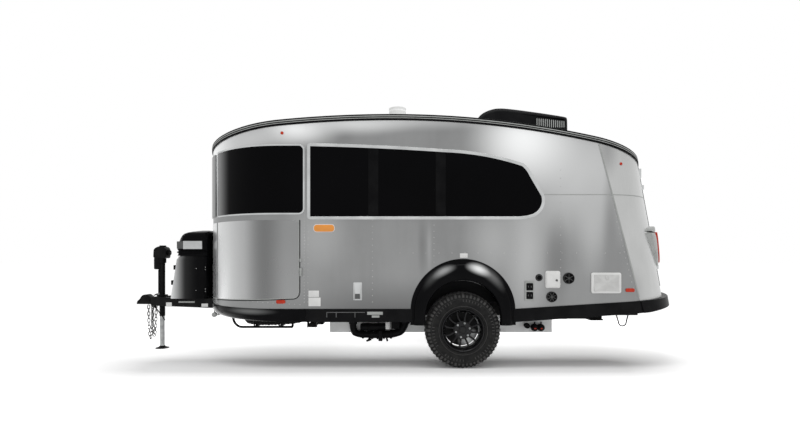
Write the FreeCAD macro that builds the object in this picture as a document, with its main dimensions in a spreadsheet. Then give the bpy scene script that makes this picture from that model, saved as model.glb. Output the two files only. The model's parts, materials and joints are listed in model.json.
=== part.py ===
import FreeCAD, Part
import Sketcher
import math
import os

# Travel caravan of about six metres on one axle, standing on its tongue jack.
# X runs along the length with the coupler at -X, Y across it and Z up.
# The photographed side is -Y. The origin is on the floor, at the middle of the box
# round the whole caravan. All lengths are millimetres.

doc = FreeCAD.newDocument("TravelCaravan")
sheet = doc.addObject("Spreadsheet::Sheet", "Sizes")

drivingSizes = {
    # body form
    "wallHalfWidth": 1020, "wallThickness": 45, "noseReach": 2080, "noseCurveLength": 980,
    "noseCornerRadius": 900, "rearReach": 3021, "rearLean": 370, "rearLeanHeight": 2004,
    "rearCurveLength": 700, "rearCornerRadius": 600, "formLow": 400, "formHigh": 2800,
    "roofPeak": 2495, "roofFrontFall": 193.1, "roofRearFall": 504.3,
    "roofThickness": 40, "edgeRailHeight": 60, "edgeRailProud": 9,
    "noseSeam": 840, "rearSeamTopInset": 986, "rearSeamTopHeight": 2200,
    "rearSeamLowInset": 591, "rearSeamLowHeight": 730,
    "overrun": 20, "seatGap": 0.3, "movingGap": 5,
    # skirt round the foot of the body
    "skirtTop": 582, "skirtBottom": 454, "skirtRiseStart": 1200, "skirtTopRear": 700,
    "skirtBendInset": 471, "skirtBendHeight": 547, "skirtBottomRear": 620, "skirtProud": 12,
    "skirtDepth": 24, "bumperProud": 54, "skirtBevel": 100,
    # windows
    "windowLow": 1490, "sideWindowFront": -800, "sideWindowRear": 1475, "sideWindowHigh": 2180,
    "curbWindowFront": -40, "dividerFront": -180, "dividerRear": 482, "dividerWidth": 98,
    "glassThickness": 8, "surroundWidth": 30, "surroundProud": 4, "noseSurroundWidth": 16,
    "frontPaneProud": 14,
    "frontWindowLow": 1525, "frontWindowHigh": 2185, "cornerWindowRear": 870,
    "frontWindowTurn": 36, "cornerWindowTurn": 40, "windowCornerRadius": 45,
    # stone guards on the nose
    "guardLow": 600, "guardLowRear": 690, "guardHigh": 1455, "guardRear": 910, "guardProud": 4,
    "guardCornerRadius": 60,
    "centreGuardTurn": 38,
    # floor and chassis
    "floorThickness": 60, "frameTop": 620, "railHeight": 150, "railWidth": 60,
    "railHalfSpacing": 590, "railFrontInset": 580, "railRearInset": 401, "crossWidth": 60, "crossHeight": 90,
    "tongueRailHeight": 105, "tongueRailWidth": 60, "tongueTipInset": 215, "tongueTipHalf": 48,
    "tongueRootInset": 840, "tongueRootHalf": 545,
    # coupler
    "tongueLength": 995, "couplerLength": 375, "couplerHalfWidth": 44, "couplerBottom": 532,
    "couplerTop": 632, "latchLength": 130, "latchWidth": 26, "latchHeight": 22, "ballRadius": 25.5,
    "socketDepth": 30, "socketInset": 50,
    # jack
    "jackInset": 305, "jackTubeRadius": 31, "jackTubeWall": 3.5, "jackTubeLow": 385, "jackTubeTop": 1100,
    "legRadius": 27, "legWall": 5, "legTop": 760, "jackBoreTop": 1060, "footRadius": 78, "footThickness": 8,
    "headLow": 1070, "headTop": 1229, "headFrontLength": 107, "headRearLength": 99, "headHalfWidth": 62,
    "headCapRadius": 40, "knobRadius": 20, "headBevel": 16, "motorRadius": 50, "motorOffset": 44,
    "motorLow": 943, "flangeRadius": 62, "flangeThickness": 12,
    # gas bottle cover
    "coverHalfWidth": 350, "coverLength": 410, "coverSlant": 60, "coverGap": 20, "coverLow": 620,
    "coverHigh": 1100, "coverWall": 8, "coverCornerRadius": 70, "lidLow": 1105, "lidLip": 5,
    "lidFrontHigh": 1300, "lidHigh": 1400, "bottleRadius": 155, "bottleHigh": 1080,
    "bottleSpacing": 330,
    # wheels and axle
    "wheelReach": 700, "wheelRadius": 372, "tyreWidth": 235, "tyreOuterFace": 1045,
    "rimRadius": 212, "rimWidth": 200, "rimWall": 9, "hubRadius": 78, "hubCapRadius": 38, "spokeCount": 12,
    "spokeWidth": 26, "discFace": 985, "discThickness": 26, "tyreShoulder": 34, "drumRadius": 140,
    "drumDepth": 90, "hubCapReach": 1012, "runningGap": 0.1,
    "axleReach": 560, "axleHeight": 430, "axleSide": 80, "axleHalfLength": 700, "armThickness": 26,
    "spindleRadius": 20, "hubInner": 745, "spindleEnd": 880,
    "archRadius": 390, "archHeight": 470, "wellRadius": 402, "wellWall": 6, "wellDepth": 770,
    # fender flares
    "flareRadius": 498, "flareHeight": 576, "flareLow": 430, "flareReach": 1065, "flangeWidth": 40,
    "flareFlangeThickness": 10, "flareRound": 24,
    # tanks and pipes below the floor
    "tankLow": 286, "tankHigh": 470, "tankHalfWidth": 600, "tankFront": -670, "tankFrontEnd": 490,
    "tankRearStart": 640, "tankRear": 1710, "pipeRadius": 35, "pipeHeight": 262, "pipeFront": -430,
    "pipeRear": 150, "pipeReach": 660, "pumpRadius": 38, "pumpHeight": 345, "pumpFront": -350,
    "pumpRear": -40, "valveSize": 44, "handleRadius": 6, "handleReach": 60, "valveReach": 1480,
    "valveSpacing": 85, "valveHeight": 352,
    # spare wheel
    "spareInset": 680, "spareLow": 290, "spareRadius": 365, "spareThickness": 205, "spareHole": 190,
    "carrierTube": 14, "carrierFrontInset": 280, "carrierRearInset": 960, "carrierHalfSpacing": 280,
    # stabiliser legs
    "stabFront": -809, "stabRear": 1730, "stabHalfSpacing": 860, "stabHeight": 488,
    "stabFrontHeight": 400, "stabLength": 390,
    "stabWidth": 60, "stabDepth": 40, "stabFootWidth": 130, "stabFootDepth": 12, "stabPinRadius": 9,
    # entry door and step
    "doorFront": -800, "doorRear": -145, "doorLow": 645, "doorHigh": 2360, "doorCornerRadius": 70,
    "hingePinRadius": 10, "hingeLength": 120, "hingeLeafWidth": 45,
    "hingeLeafThickness": 4, "doorWindowInset": 90, "handleLength": 150, "handleWidth": 36, "handleProud": 30,
    "stepWidth": 500, "stepDepth": 260, "stepThickness": 32, "stepHeight": 380, "stepOuter": 1010,
    "stepBracketWall": 10,
    # rear hatch
    "hatchHalfWidth": 550, "hatchLow": 860, "hatchHigh": 1975, "hatchGlassLow": 1480, "hatchGlassInset": 90,
    "hatchBarrelRadius": 11, "hatchBarrelLength": 110,
    # roof fittings
    "conditionerHalfWidth": 350, "conditionerFront": 950, "conditionerRear": 1985, "conditionerPeak": 1180,
    "conditionerHigh": 2780, "conditionerRearHigh": 2684, "conditionerLow": 2240,
    "conditionerShoulder": 2640, "conditionerBevel": 34, "grilleFront": 1612, "grilleRear": 1938,
    "grilleLow": 2543, "grilleHigh": 2655, "grilleSlots": 14, "grilleSlotWidth": 13, "grilleDepth": 14,
    "capReach": 56, "capOffset": 750, "capRadius": 88, "capHigh": 2630,
    "ventReach": 620, "ventHalf": 200, "ventHole": 170, "ventCurbHigh": 2540, "ventLidThickness": 30,
    # lamps, badge and fittings on the walls
    "tailLampHigh": 1420, "tailLampLow": 985, "tailLampInner": 560, "tailLampOuter": 815,
    "lampProud": 22, "markerRadius": 19, "markerProud": 10, "markerLength": 84, "markerHeight": 32,
    "frontMarkerReach": 1040, "frontMarkerHigh": 2309, "rearMarkerInset": 796, "rearMarkerHigh": 2018,
    "frontMarkerLow": 655, "rearMarkerLow": 770, "rearMarkerLowInset": 691,
    "badgeReach": -663, "badgeHeight": 1376, "badgeLength": 207, "badgeWidth": 75, "badgeProud": 6,
    "lidProud": 12, "lidRim": 18, "inletFront": 1510, "inletRear": 1655, "inletLow": 788, "inletHigh": 955,
    "accessLength": 295, "accessInset": 770, "accessLow": 739, "accessHigh": 940, "smallHingeRadius": 5,
    "socketFront": 1304, "socketRear": 1397, "socketLow": 660, "socketHigh": 857,
    "roundInletRadius": 60, "roundInletReach": 1738, "roundInletHeight": 883,
    "lowInletReach": 1571, "lowInletHeight": 702, "hoodFront": -373, "hoodRear": -295,
    "hoodLow": 670, "hoodHigh": 841, "hoodProud": 26,
    # hoop, chains
    "hoopInset": 191, "hoopLength": 170, "hoopLow": 262, "hoopTop": 560, "hoopRadius": 7,
    "linkLength": 72, "linkWidth": 40, "linkWire": 8, "chainDrop": 400,
    "chainInset": 140, "chainLoopWidth": 60, "chainHalfSpacing": 30,
}

for row, (alias, number) in enumerate(drivingSizes.items(), start=1):
    sheet.set("A%d" % row, alias)
    sheet.set("B%d" % row, str(number))
    sheet.setAlias("B%d" % row, alias)
doc.recompute()


class Size:
    # a number together with the spreadsheet formula that gives it
    def __init__(self, value, formula):
        self.value = float(value)
        self.formula = formula

    def __float__(self):
        return self.value

    def joined(self, sign, other, value):
        return Size(value, "(%s %s %s)" % (self.formula, sign, other.formula))

    def __add__(self, other):
        other = sized(other)
        return self.joined("+", other, self.value + other.value)

    def __sub__(self, other):
        other = sized(other)
        return self.joined("-", other, self.value - other.value)

    def __mul__(self, other):
        other = sized(other)
        return self.joined("*", other, self.value * other.value)

    def __truediv__(self, other):
        other = sized(other)
        return self.joined("/", other, self.value / other.value)

    def __radd__(self, other):
        return sized(other) + self

    def __rsub__(self, other):
        return sized(other) - self

    def __rmul__(self, other):
        return sized(other) * self

    def __neg__(self):
        return Size(-self.value, "(-1 * %s)" % self.formula)

    def __pow__(self, power):
        return self.value ** power


def sized(item):
    return item if isinstance(item, Size) else Size(item, repr(float(item)))


class SizeBook:
    # every alias of the sheet as an attribute that remembers its formula
    pass


s = SizeBook()
for alias in drivingSizes:
    setattr(s, alias, Size(sheet.get(alias), "Sizes." + alias))

# places that follow the nose, on the body and along the tongue
s.noseCurveStart = s.noseReach - s.noseCurveLength
s.railFront = s.noseReach - s.railFrontInset
s.tongueRoot = s.noseReach - s.tongueRootInset
s.spareReach = s.noseReach - s.spareInset
s.carrierFront = s.noseReach - s.carrierFrontInset
s.carrierRear = s.noseReach - s.carrierRearInset
s.coverRear = s.noseReach + s.coverGap
s.coverFront = s.coverRear + s.coverLength
s.coverFrontTop = s.coverFront - s.coverSlant
s.lidFront = s.coverFrontTop + s.lidLip
s.lidRear = s.coverRear - s.lidLip
s.couplerTip = s.noseReach + s.tongueLength
s.couplerBack = s.couplerTip - s.couplerLength
s.tongueTip = s.couplerTip - s.tongueTipInset
s.socketCentre = s.couplerTip - s.socketInset
s.chainFront = s.couplerTip - s.chainInset
s.jackReach = s.couplerTip - s.jackInset
s.headFront = s.jackReach + s.headFrontLength
s.headRear = s.jackReach - s.headRearLength
s.motorReach = s.jackReach + s.motorOffset
# places that follow the rear
s.bumperReach = s.rearReach + s.bumperProud
s.rearSeamTop = s.rearReach - s.rearSeamTopInset
s.rearSeamLow = s.rearReach - s.rearSeamLowInset
s.skirtBendReach = s.rearReach - s.skirtBendInset
s.railRear = s.rearReach - s.railRearInset
s.hoopRear = s.rearReach - s.hoopInset
s.hoopFront = s.hoopRear - s.hoopLength
s.accessRear = s.rearReach - s.accessInset
s.accessFront = s.accessRear - s.accessLength
s.rearMarkerReach = s.rearReach - s.rearMarkerInset
s.rearMarkerLowReach = s.rearReach - s.rearMarkerLowInset

nodes = []
sides = {"left": -1, "right": 1}


def at(x, y, z):
    return FreeCAD.Vector(float(x), float(y), float(z))


def node(label, item):
    item.Label = label
    nodes.append(item)
    return item


def feature(name, shape):
    item = doc.addObject("Part::Feature", name)
    item.Shape = shape
    return item


def bind(item, key, size):
    item.setExpression(key, sized(size).formula)


def place(item, x, y, z):
    for axis, size in zip("xyz", (x, y, z)):
        bind(item, "Placement.Base." + axis, size)


def box(name, low, high):
    item = doc.addObject("Part::Box", name)
    for key, start, end in zip(("Length", "Width", "Height"), low, high):
        bind(item, key, sized(end) - start)
    place(item, *low)
    return item


turns = {"x": FreeCAD.Rotation(FreeCAD.Vector(0, 1, 0), 90),
         "y": FreeCAD.Rotation(FreeCAD.Vector(1, 0, 0), -90),
         "z": FreeCAD.Rotation()}


def rod(name, radius, length, start, axis):
    item = doc.addObject("Part::Cylinder", name)
    item.Placement = FreeCAD.Placement(FreeCAD.Vector(), turns[axis])
    bind(item, "Radius", radius)
    bind(item, "Height", length)
    place(item, *start)
    return item


def fused(name, items):
    item = doc.addObject("Part::MultiFuse", name)
    item.Shapes = items
    item.Refine = True
    return item


def cut(name, base, tools):
    item = doc.addObject("Part::Cut", name)
    item.Base = base
    item.Tool = tools[0] if len(tools) == 1 else fused(name + "Tools", tools)
    return item


def grouped(name, items):
    item = doc.addObject("Part::Compound", name)
    item.Links = items
    return item


planes = {"xy": "XY_Plane", "xz": "XZ_Plane", "yz": "YZ_Plane"}


def traced(sketch, outline):
    # a closed outline of straight lines, each corner held by its own two bound sizes
    points = [at(u, v, 0) for u, v in outline]
    count = len(points)
    for i in range(count):
        sketch.addGeometry(Part.LineSegment(points[i], points[(i + 1) % count]), False)
    for i in range(count):
        sketch.addConstraint(Sketcher.Constraint("Coincident", i, 2, (i + 1) % count, 1))
    for i, (u, v) in enumerate(outline):
        for kind, size in (("DistanceX", u), ("DistanceY", v)):
            index = sketch.addConstraint(Sketcher.Constraint(kind, -1, 1, i, 1, float(size)))
            bind(sketch, "Constraints[%d]" % index, size)


def padded(name, plane, outline, start, length):
    # a straight-sided outline on one of the body's own planes, padded from start along Z, X or -Y
    body = doc.addObject("PartDesign::Body", name)
    sketch = body.newObject("Sketcher::SketchObject", name + "Sketch")
    origin = next(item for item in body.Origin.OriginFeatures if item.Role == planes[plane])
    sketch.AttachmentSupport = [(origin, "")]
    sketch.MapMode = "FlatFace"
    traced(sketch, outline)
    pad = body.newObject("PartDesign::Pad", name + "Pad")
    pad.Profile = sketch
    bind(pad, "Length", length)
    bind(body, "Placement.Base." + {"xy": "z", "xz": "y", "yz": "x"}[plane], start)
    return body


def revolved(name, profile, centre):
    # a closed profile of (along Y, radius) points turned about the Y line through the centre
    body = doc.addObject("PartDesign::Body", name)
    sketch = body.newObject("Sketcher::SketchObject", name + "Sketch")
    origin = next(item for item in body.Origin.OriginFeatures if item.Role == "YZ_Plane")
    sketch.AttachmentSupport = [(origin, "")]
    sketch.MapMode = "FlatFace"
    traced(sketch, profile)
    turned = body.newObject("PartDesign::Revolution", name + "Turned")
    turned.Profile = sketch
    turned.ReferenceAxis = (sketch, ["H_Axis"])
    turned.Angle = 360
    place(body, *centre)
    return body


# the body's form: a rounded plan carried up to a leaning rear

def endPoints(side, start, reach, half, corner):
    # one rounded end of the plan: two corner arcs and the arc between them, all tangent
    length = reach - start
    radius = (length ** 2 + (half - corner) ** 2 - corner ** 2) / (2 * (length - corner))
    turn = math.atan2(half - corner, radius - length)
    middle = (turn + math.pi / 2) / 2
    join = (reach - radius + radius * math.cos(turn), radius * math.sin(turn))
    bend = (start + corner * math.cos(middle), half - corner + corner * math.sin(middle))
    return {"start": (side * start, half), "bend": (side * bend[0], bend[1]),
            "join": (side * join[0], join[1]), "tip": (side * reach, 0.0)}


def rearReachAt(height):
    return float(s.rearReach) - float(s.rearLean) * (height - float(s.skirtTop)) / float(s.rearLeanHeight)


def endFace(side, start, reach, half, corner, back, height):
    # the plan of one rounded end, closed by a straight line across the body
    ends = endPoints(side, start, reach, half, corner)

    def spot(name, mirror):
        return at(ends[name][0], mirror * ends[name][1], height)

    corners = [at(back, -half, height), at(back, half, height)]
    edges = [Part.LineSegment(corners[0], corners[1]).toShape(),
             Part.LineSegment(corners[1], spot("start", 1)).toShape(),
             Part.Arc(spot("start", 1), spot("bend", 1), spot("join", 1)).toShape(),
             Part.Arc(spot("join", 1), spot("tip", 1), spot("join", -1)).toShape(),
             Part.Arc(spot("join", -1), spot("bend", -1), spot("start", -1)).toShape(),
             Part.LineSegment(spot("start", -1), corners[0]).toShape()]
    return Part.Face(Part.Wire(edges))


def form(offset, bumper=0.0):
    # the nose stands upright, and the rear is an upright form too, tipped forwards by its lean
    half = float(s.wallHalfWidth) + offset
    low, high = float(s.formLow), float(s.formHigh)
    nose = endFace(-1, float(s.noseCurveStart), float(s.noseReach) + offset, half,
                   float(s.noseCornerRadius) + offset, float(s.skirtRiseStart), low)
    reach = float(s.rearReach) + offset + bumper
    tail = endFace(1, float(s.rearReach) + bumper - float(s.rearCurveLength), reach, half,
                   float(s.rearCornerRadius) + offset, 0, -high)
    tail = tail.extrude(at(0, 0, 3 * high))
    lean = math.degrees(math.atan2(float(s.rearLean), float(s.rearLeanHeight)))
    tail.rotate(at(float(s.rearReach), 0, float(s.skirtTop)), at(0, 1, 0), -lean)
    slab = Part.makeBox(2 * high, 4 * half, high - low, at(0, -2 * half, low))
    return nose.extrude(at(0, 0, high - low)).fuse(tail.common(slab)).removeSplitter()


def skin(inner, outer):
    return form(outer).cut(form(inner))


def underRoof(drop):
    # all that lies under the roof's arch, which falls away faster at the rear than at the nose
    top = float(s.roofPeak) - drop
    edges = []
    ends = []
    for side, length, fall in ((-1, float(s.noseReach), float(s.roofFrontFall)),
                               (1, float(s.rearReach), float(s.roofRearFall))):
        arch = (length ** 2 + fall ** 2) / (2 * fall)
        reach = float(s.bumperReach) + float(s.wallHalfWidth)
        turn = math.asin(reach / arch)
        end = at(side * reach, 0, top - arch * (1 - math.cos(turn)))
        middle = at(side * arch * math.sin(turn / 2), 0, top - arch * (1 - math.cos(turn / 2)))
        edges.append(Part.Arc(at(0, 0, top), middle, end).toShape())
        edges.append(Part.LineSegment(end, at(end.x, 0, 0)).toShape())
        ends.append(at(end.x, 0, 0))
    edges.append(Part.LineSegment(*ends).toShape())
    return across(Part.Face(Part.Wire(Part.sortEdges(edges)[0])))


def acrossFace(points):
    # a flat face in the XZ plane from corner points
    return Part.Face(Part.makePolygon([at(x, 0, z) for x, z in points + points[:1]]))


def across(face, side=0):
    # a face in the XZ plane carried out to one side of the body, or through both
    reach = float(s.wallHalfWidth) * 2
    if side:
        return face.extrude(at(0, side * reach, 0))
    moved = face.copy()
    moved.translate(at(0, -reach, 0))
    return moved.extrude(at(0, 2 * reach, 0))


def roundedFace(low, high, radius):
    # a rectangle in the XZ plane with four rounded corners
    points = [(low[0], low[1]), (high[0], low[1]), (high[0], high[1]), (low[0], high[1])]
    solid = acrossFace(points).extrude(at(0, radius, 0))
    upright = [edge for edge in solid.Edges if abs(edge.tangentAt(edge.FirstParameter).y) > 0.9]
    solid = solid.makeFillet(radius, upright)
    return next(face for face in solid.Faces if abs(face.normalAt(0, 0).y) > 0.9
                and abs(face.CenterOfMass.y) < radius / 2)


outside = form(0)
inside = form(-float(s.wallThickness))
wallRoof = underRoof(float(s.roofThickness))
topRoof = underRoof(0)
farFront, farRear = -float(s.bumperReach) * 2, float(s.bumperReach) * 2
farHigh = float(s.formHigh) * 2
seamRise = float(s.rearSeamTopHeight) - float(s.rearSeamLowHeight)
seamSlope = (float(s.rearSeamTop) - float(s.rearSeamLow)) / seamRise


def seamAt(height):
    return float(s.rearSeamLow) + seamSlope * (height - float(s.rearSeamLowHeight))


sideFace = acrossFace([(-float(s.noseSeam), 0), (seamAt(0), 0), (seamAt(farHigh), farHigh),
                       (-float(s.noseSeam), farHigh)])
noseFace = acrossFace([(farFront, 0), (-float(s.noseSeam), 0), (-float(s.noseSeam), farHigh),
                       (farFront, farHigh)])
rearFace = acrossFace([(seamAt(0), 0), (farRear, 0), (farRear, farHigh), (seamAt(farHigh), farHigh)])


def skirtLine(height, rearHeight, bend=None):
    points = [(farFront, height), (float(s.skirtRiseStart), height)]
    if bend:
        points.append(bend)
    return points + [(float(s.bumperReach), rearHeight), (farRear, rearHeight)]


topLine = skirtLine(float(s.skirtTop), float(s.skirtTopRear))
lowLine = skirtLine(float(s.skirtBottom), float(s.skirtBottomRear),
                    (float(s.skirtBendReach), float(s.skirtBendHeight)))
aboveSkirt = across(acrossFace(topLine + [(farRear, farHigh), (farFront, farHigh)]))
skirtZone = across(acrossFace(topLine + lowLine[::-1]))

# windows as faces in the XZ plane


def windowOutline(front, rear, low, high):
    # the street-side window: straight front, gently falling head and a drop-shaped tail
    length, height = rear - front, high - low
    full = float(s.sideWindowRear) - float(s.sideWindowFront)

    def spot(share, rise):
        return at(rear - share * full, 0, low + rise * height)

    # shares of the whole length, counted back from the tail, and of the height
    headShares = {"bend": (0.415, 0.913), "shoulder": (0.086, 0.718), "cheek": (0.0025, 0.29),
                  "heel": (0.045, 0.03), "sole": (0.12, 0.0)}
    start = at(front, 0, low)
    top = at(front, 0, high if front <= float(s.sideWindowFront) else low + 0.972 * height)
    bend = spot(*headShares["bend"])
    shoulder = spot(*headShares["shoulder"])
    cheek = spot(*headShares["cheek"])
    heel = spot(*headShares["heel"])
    sole = spot(*headShares["sole"])
    crest = (top + bend) * 0.5 + at(0, 0, 0.012 * height)
    edges = [Part.LineSegment(start, top).toShape(),
             Part.Arc(top, crest, bend).toShape(),
             Part.Arc(bend, spot(0.19, 0.814), shoulder).toShape(),
             Part.Arc(shoulder, spot(0.066, 0.65), spot(0.053, 0.575)).toShape(),
             Part.LineSegment(spot(0.053, 0.575), cheek).toShape(),
             Part.Arc(cheek, spot(0.008, 0.13), heel).toShape(),
             Part.Arc(heel, spot(0.075, 0.008), sole).toShape(),
             Part.LineSegment(sole, start).toShape()]
    return Part.Face(Part.Wire(edges))


def grown(face, offset):
    return Part.Face(face.OuterWire.makeOffset2D(offset))


windows = {"left": windowOutline(float(s.sideWindowFront), float(s.sideWindowRear), float(s.windowLow),
                                 float(s.sideWindowHigh)),
           "right": windowOutline(float(s.curbWindowFront), float(s.sideWindowRear), float(s.windowLow),
                                  float(s.sideWindowHigh))}


def dividerZone(grow=0.0):
    half = float(s.dividerWidth) / 2 + grow
    zones = []
    for middle in (float(s.dividerFront), float(s.dividerRear)):
        zones.append(across(acrossFace([(middle - half, 0), (middle + half, 0), (middle + half, farHigh),
                                        (middle - half, farHigh)])))
    return zones


# window zones on the nose, as wedges about the middle of its curve

noseCentre = -float(s.noseReach) + float(s.wallHalfWidth)


def noseWedge(fromTurn, toTurn, side, rear=None):
    # plan wedge between two angles from the nose's centre line, or back to a given X
    far = float(s.bumperReach)
    first, last = math.radians(fromTurn), math.radians(toTurn)
    points = [(noseCentre, 0), (noseCentre - far * math.cos(first), side * far * math.sin(first)),
              (noseCentre - far * math.cos(last), side * far * math.sin(last))]
    if rear is not None:
        points = points[:2] + [(noseCentre - far, side * far), (rear, side * far), (rear, 0)]
    return Part.Face(Part.makePolygon([at(x, y, 0) for x, y in points + points[:1]]))


def raised(face, low, high):
    moved = face.copy()
    moved.translate(at(0, 0, low))
    return moved.extrude(at(0, 0, high - low))


def centreWedge(turn, low, high, side=1):
    half = noseWedge(0, turn, 1)
    other = noseWedge(0, turn, -1)
    return raised(half, low, high).fuse(raised(other, low, high)).removeSplitter()


gap = float(s.seatGap)
frontWindow = centreWedge(float(s.frontWindowTurn), float(s.frontWindowLow), float(s.frontWindowHigh))


def nosePanel(side, grow, turn, rear, low, lowRear, high, corner):
    # a zone on one side of the nose, from a turn off its middle back to an upright edge with round corners
    front = -float(s.bumperReach)
    points = [(front, low - grow), (rear + grow, lowRear - grow), (rear + grow, high + grow),
              (front, high + grow)]
    solid = acrossFace(points).extrude(at(0, side * float(s.bumperReach), 0))
    ends = [edge for edge in solid.Edges if abs(edge.tangentAt(edge.FirstParameter).y) > 0.9
            and abs(edge.CenterOfMass.x - rear - grow) < corner]
    solid = solid.makeFillet(corner + grow, ends)
    spread = math.degrees(grow / float(s.wallHalfWidth))
    wedge = noseWedge(turn - spread, 90, side, rear + grow + corner)
    return solid.common(raised(wedge, low - 2 * corner, high + 2 * corner))


def cornerWindow(side, grow=0.0):
    return nosePanel(side, grow, float(s.cornerWindowTurn), -float(s.cornerWindowRear),
                     float(s.frontWindowLow),
                     float(s.frontWindowLow), float(s.frontWindowHigh), float(s.windowCornerRadius))


cornerWindows = {name: cornerWindow(side) for name, side in sides.items()}

# wall openings

archFace = Part.Face(Part.Wire(Part.makeCircle(float(s.archRadius), at(s.wheelReach, 0, s.archHeight),
                                               at(0, 1, 0))))
archFoot = acrossFace([(float(s.wheelReach) - float(s.archRadius), 0),
                       (float(s.wheelReach) + float(s.archRadius), 0),
                       (float(s.wheelReach) + float(s.archRadius), float(s.archHeight)),
                       (float(s.wheelReach) - float(s.archRadius), float(s.archHeight))])
archZone = across(archFace).fuse(across(archFoot))
clear = float(s.movingGap)
doorOpening = across(roundedFace((float(s.doorFront) - clear, float(s.doorLow) - clear),
                                 (float(s.doorRear) + clear, float(s.doorHigh) + clear),
                                 float(s.doorCornerRadius) + clear), 1)
doorForm = across(roundedFace((float(s.doorFront), float(s.doorLow)), (float(s.doorRear), float(s.doorHigh)),
                              float(s.doorCornerRadius)), 1)


def hatchZone(grow, low=None, inset=0.0):
    half = float(s.hatchHalfWidth) + grow - inset
    bottom = (float(s.hatchLow) if low is None else low) - grow
    top = float(s.hatchHigh) + grow - inset
    reach = float(s.rearCurveLength)
    zone = Part.makeBox(farRear, 2 * half, top - bottom, at(reach, -half, bottom))
    long = [edge for edge in zone.Edges if abs(edge.tangentAt(edge.FirstParameter).x) > 0.9]
    return zone.makeFillet(float(s.windowCornerRadius) + grow, long)


def wallPanels():
    shell = outside.cut(inside).common(wallRoof).common(aboveSkirt)
    for name, side in sides.items():
        wall = shell.common(across(sideFace, side)).cut(across(windows[name], side)).cut(archZone)
        if name == "right":
            wall = wall.cut(doorOpening)
        node("side_wall_" + name, feature("sideWall" + name, wall))
    nose = shell.common(across(noseFace)).cut(frontWindow)
    for zone in cornerWindows.values():
        nose = nose.cut(zone)
    for name, side in sides.items():
        nose = nose.cut(tongueRailShape(side, gap))
    node("nose_wall", feature("noseWall", nose))
    rear = shell.common(across(rearFace)).cut(hatchZone(clear))
    node("rear_wall", feature("rearWall", rear))


def roofPanels():
    roof = outside.common(topRoof.cut(wallRoof))
    hole = float(s.ventHole)
    roof = roof.cut(Part.makeBox(2 * hole, 2 * hole, farHigh,
                                 at(-float(s.ventReach) - hole, -hole, s.frameTop)))
    node("roof_panel", feature("roofPanel", roof))
    rail = skin(0, float(s.edgeRailProud)).common(topRoof.cut(underRoof(float(s.edgeRailHeight))))
    node("roof_edge_rail", feature("roofEdgeRail", rail))


def glazing():
    pane = skin(-float(s.glassThickness), 0)
    sidePanes = []
    for name, side in sides.items():
        zone = across(grown(windows[name], -gap), side)
        glass = pane.common(zone)
        for divider in dividerZone(gap):
            glass = glass.cut(divider)
        sidePanes += glass.Solids
    node("side_glass", feature("sideGlass", Part.makeCompound(sidePanes)))
    proudPane = skin(-float(s.glassThickness), float(s.frontPaneProud))
    front = [proudPane.common(centreWedge(float(s.frontWindowTurn) - gap / 20, float(s.frontWindowLow) + gap,
                                          float(s.frontWindowHigh) - gap))]
    for side in sides.values():
        front.append(pane.common(cornerWindow(side, -gap)))
    node("front_glass", feature("frontGlass", Part.makeCompound(front)))
    bars = []
    block = skin(-float(s.wallThickness) / 2, 0)
    for name, side in sides.items():
        zone = across(windows[name], side)
        for divider in dividerZone():
            bar = block.common(zone).common(divider)
            bars += bar.Solids
    node("window_dividers", feature("windowDividers", Part.makeCompound(bars)))


def surrounds():
    band = skin(0, float(s.surroundProud))
    width = float(s.surroundWidth)
    rings = []
    for name, side in sides.items():
        ring = across(grown(windows[name], width), side).cut(across(windows[name], side))
        rings += band.common(ring).cut(doorOpening).Solids
        rings += band.common(cornerWindow(side, float(s.noseSurroundWidth))).cut(cornerWindows[name]).Solids
    node("window_surrounds", feature("windowSurrounds", Part.makeCompound(rings)))


def stoneGuards():
    band = skin(0, float(s.guardProud))
    low, high = float(s.guardLow), float(s.guardHigh)
    pieces = [band.common(centreWedge(float(s.centreGuardTurn), low, high))]
    for side in sides.values():
        pieces.append(band.common(nosePanel(side, 0.0, float(s.cornerWindowTurn), -float(s.guardRear), low,
                                            float(s.guardLowRear), high, float(s.guardCornerRadius))))
    for side in sides.values():
        pieces = [piece.cut(tongueRailShape(side, gap)) for piece in pieces]
    node("stone_guards", feature("stoneGuards", Part.makeCompound(pieces)))


def skirts():
    ring = skin(-float(s.skirtDepth), float(s.skirtProud)).common(skirtZone)
    straight = []
    for side in sides.values():
        piece = ring.common(across(sideFace, side)).cut(flareBlock())
        straight += piece.Solids
    node("side_skirts", feature("sideSkirts", Part.makeCompound(straight)))
    nose = bevelledNose(float(s.skirtProud)).cut(bevelledNose(-float(s.skirtDepth))).common(across(noseFace))
    for side in sides.values():
        nose = nose.cut(tongueRailShape(side, gap))
    node("skirt_front", feature("skirtFront", nose))
    bumper = float(s.bumperReach) - rearReachAt(float(s.skirtBottomRear)) - float(s.skirtProud)
    outer = form(float(s.skirtProud), bumper)
    rear = outer.cut(form(-float(s.skirtDepth))).common(skirtZone).common(across(rearFace))
    node("skirt_rear", feature("skirtRear", rear))


def bevelledNose(offset):
    # the nose part of the skirt's depth as a solid, its lower edge bevelled inwards
    height = float(s.skirtTop) - float(s.skirtBottom)
    face = endFace(-1, float(s.noseCurveStart), float(s.noseReach) + offset, float(s.wallHalfWidth) + offset,
                   float(s.noseCornerRadius) + offset, 0, float(s.skirtBottom))
    solid = face.extrude(at(0, 0, height))
    low = [edge for edge in solid.Edges if edge.BoundBox.ZMax < float(s.skirtBottom) + 1
           and edge.BoundBox.XMin < -float(s.noseSeam) and edge.BoundBox.YLength > 0]
    curved = [edge for edge in low if edge.Curve.TypeId == "Part::GeomCircle"]
    straight = [edge for edge in solid.Edges if edge.BoundBox.ZMax < float(s.skirtBottom) + 1
                and edge.Curve.TypeId == "Part::GeomLine" and edge.BoundBox.YLength < 1]
    return solid.makeChamfer(float(s.skirtBevel), curved + straight)


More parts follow.
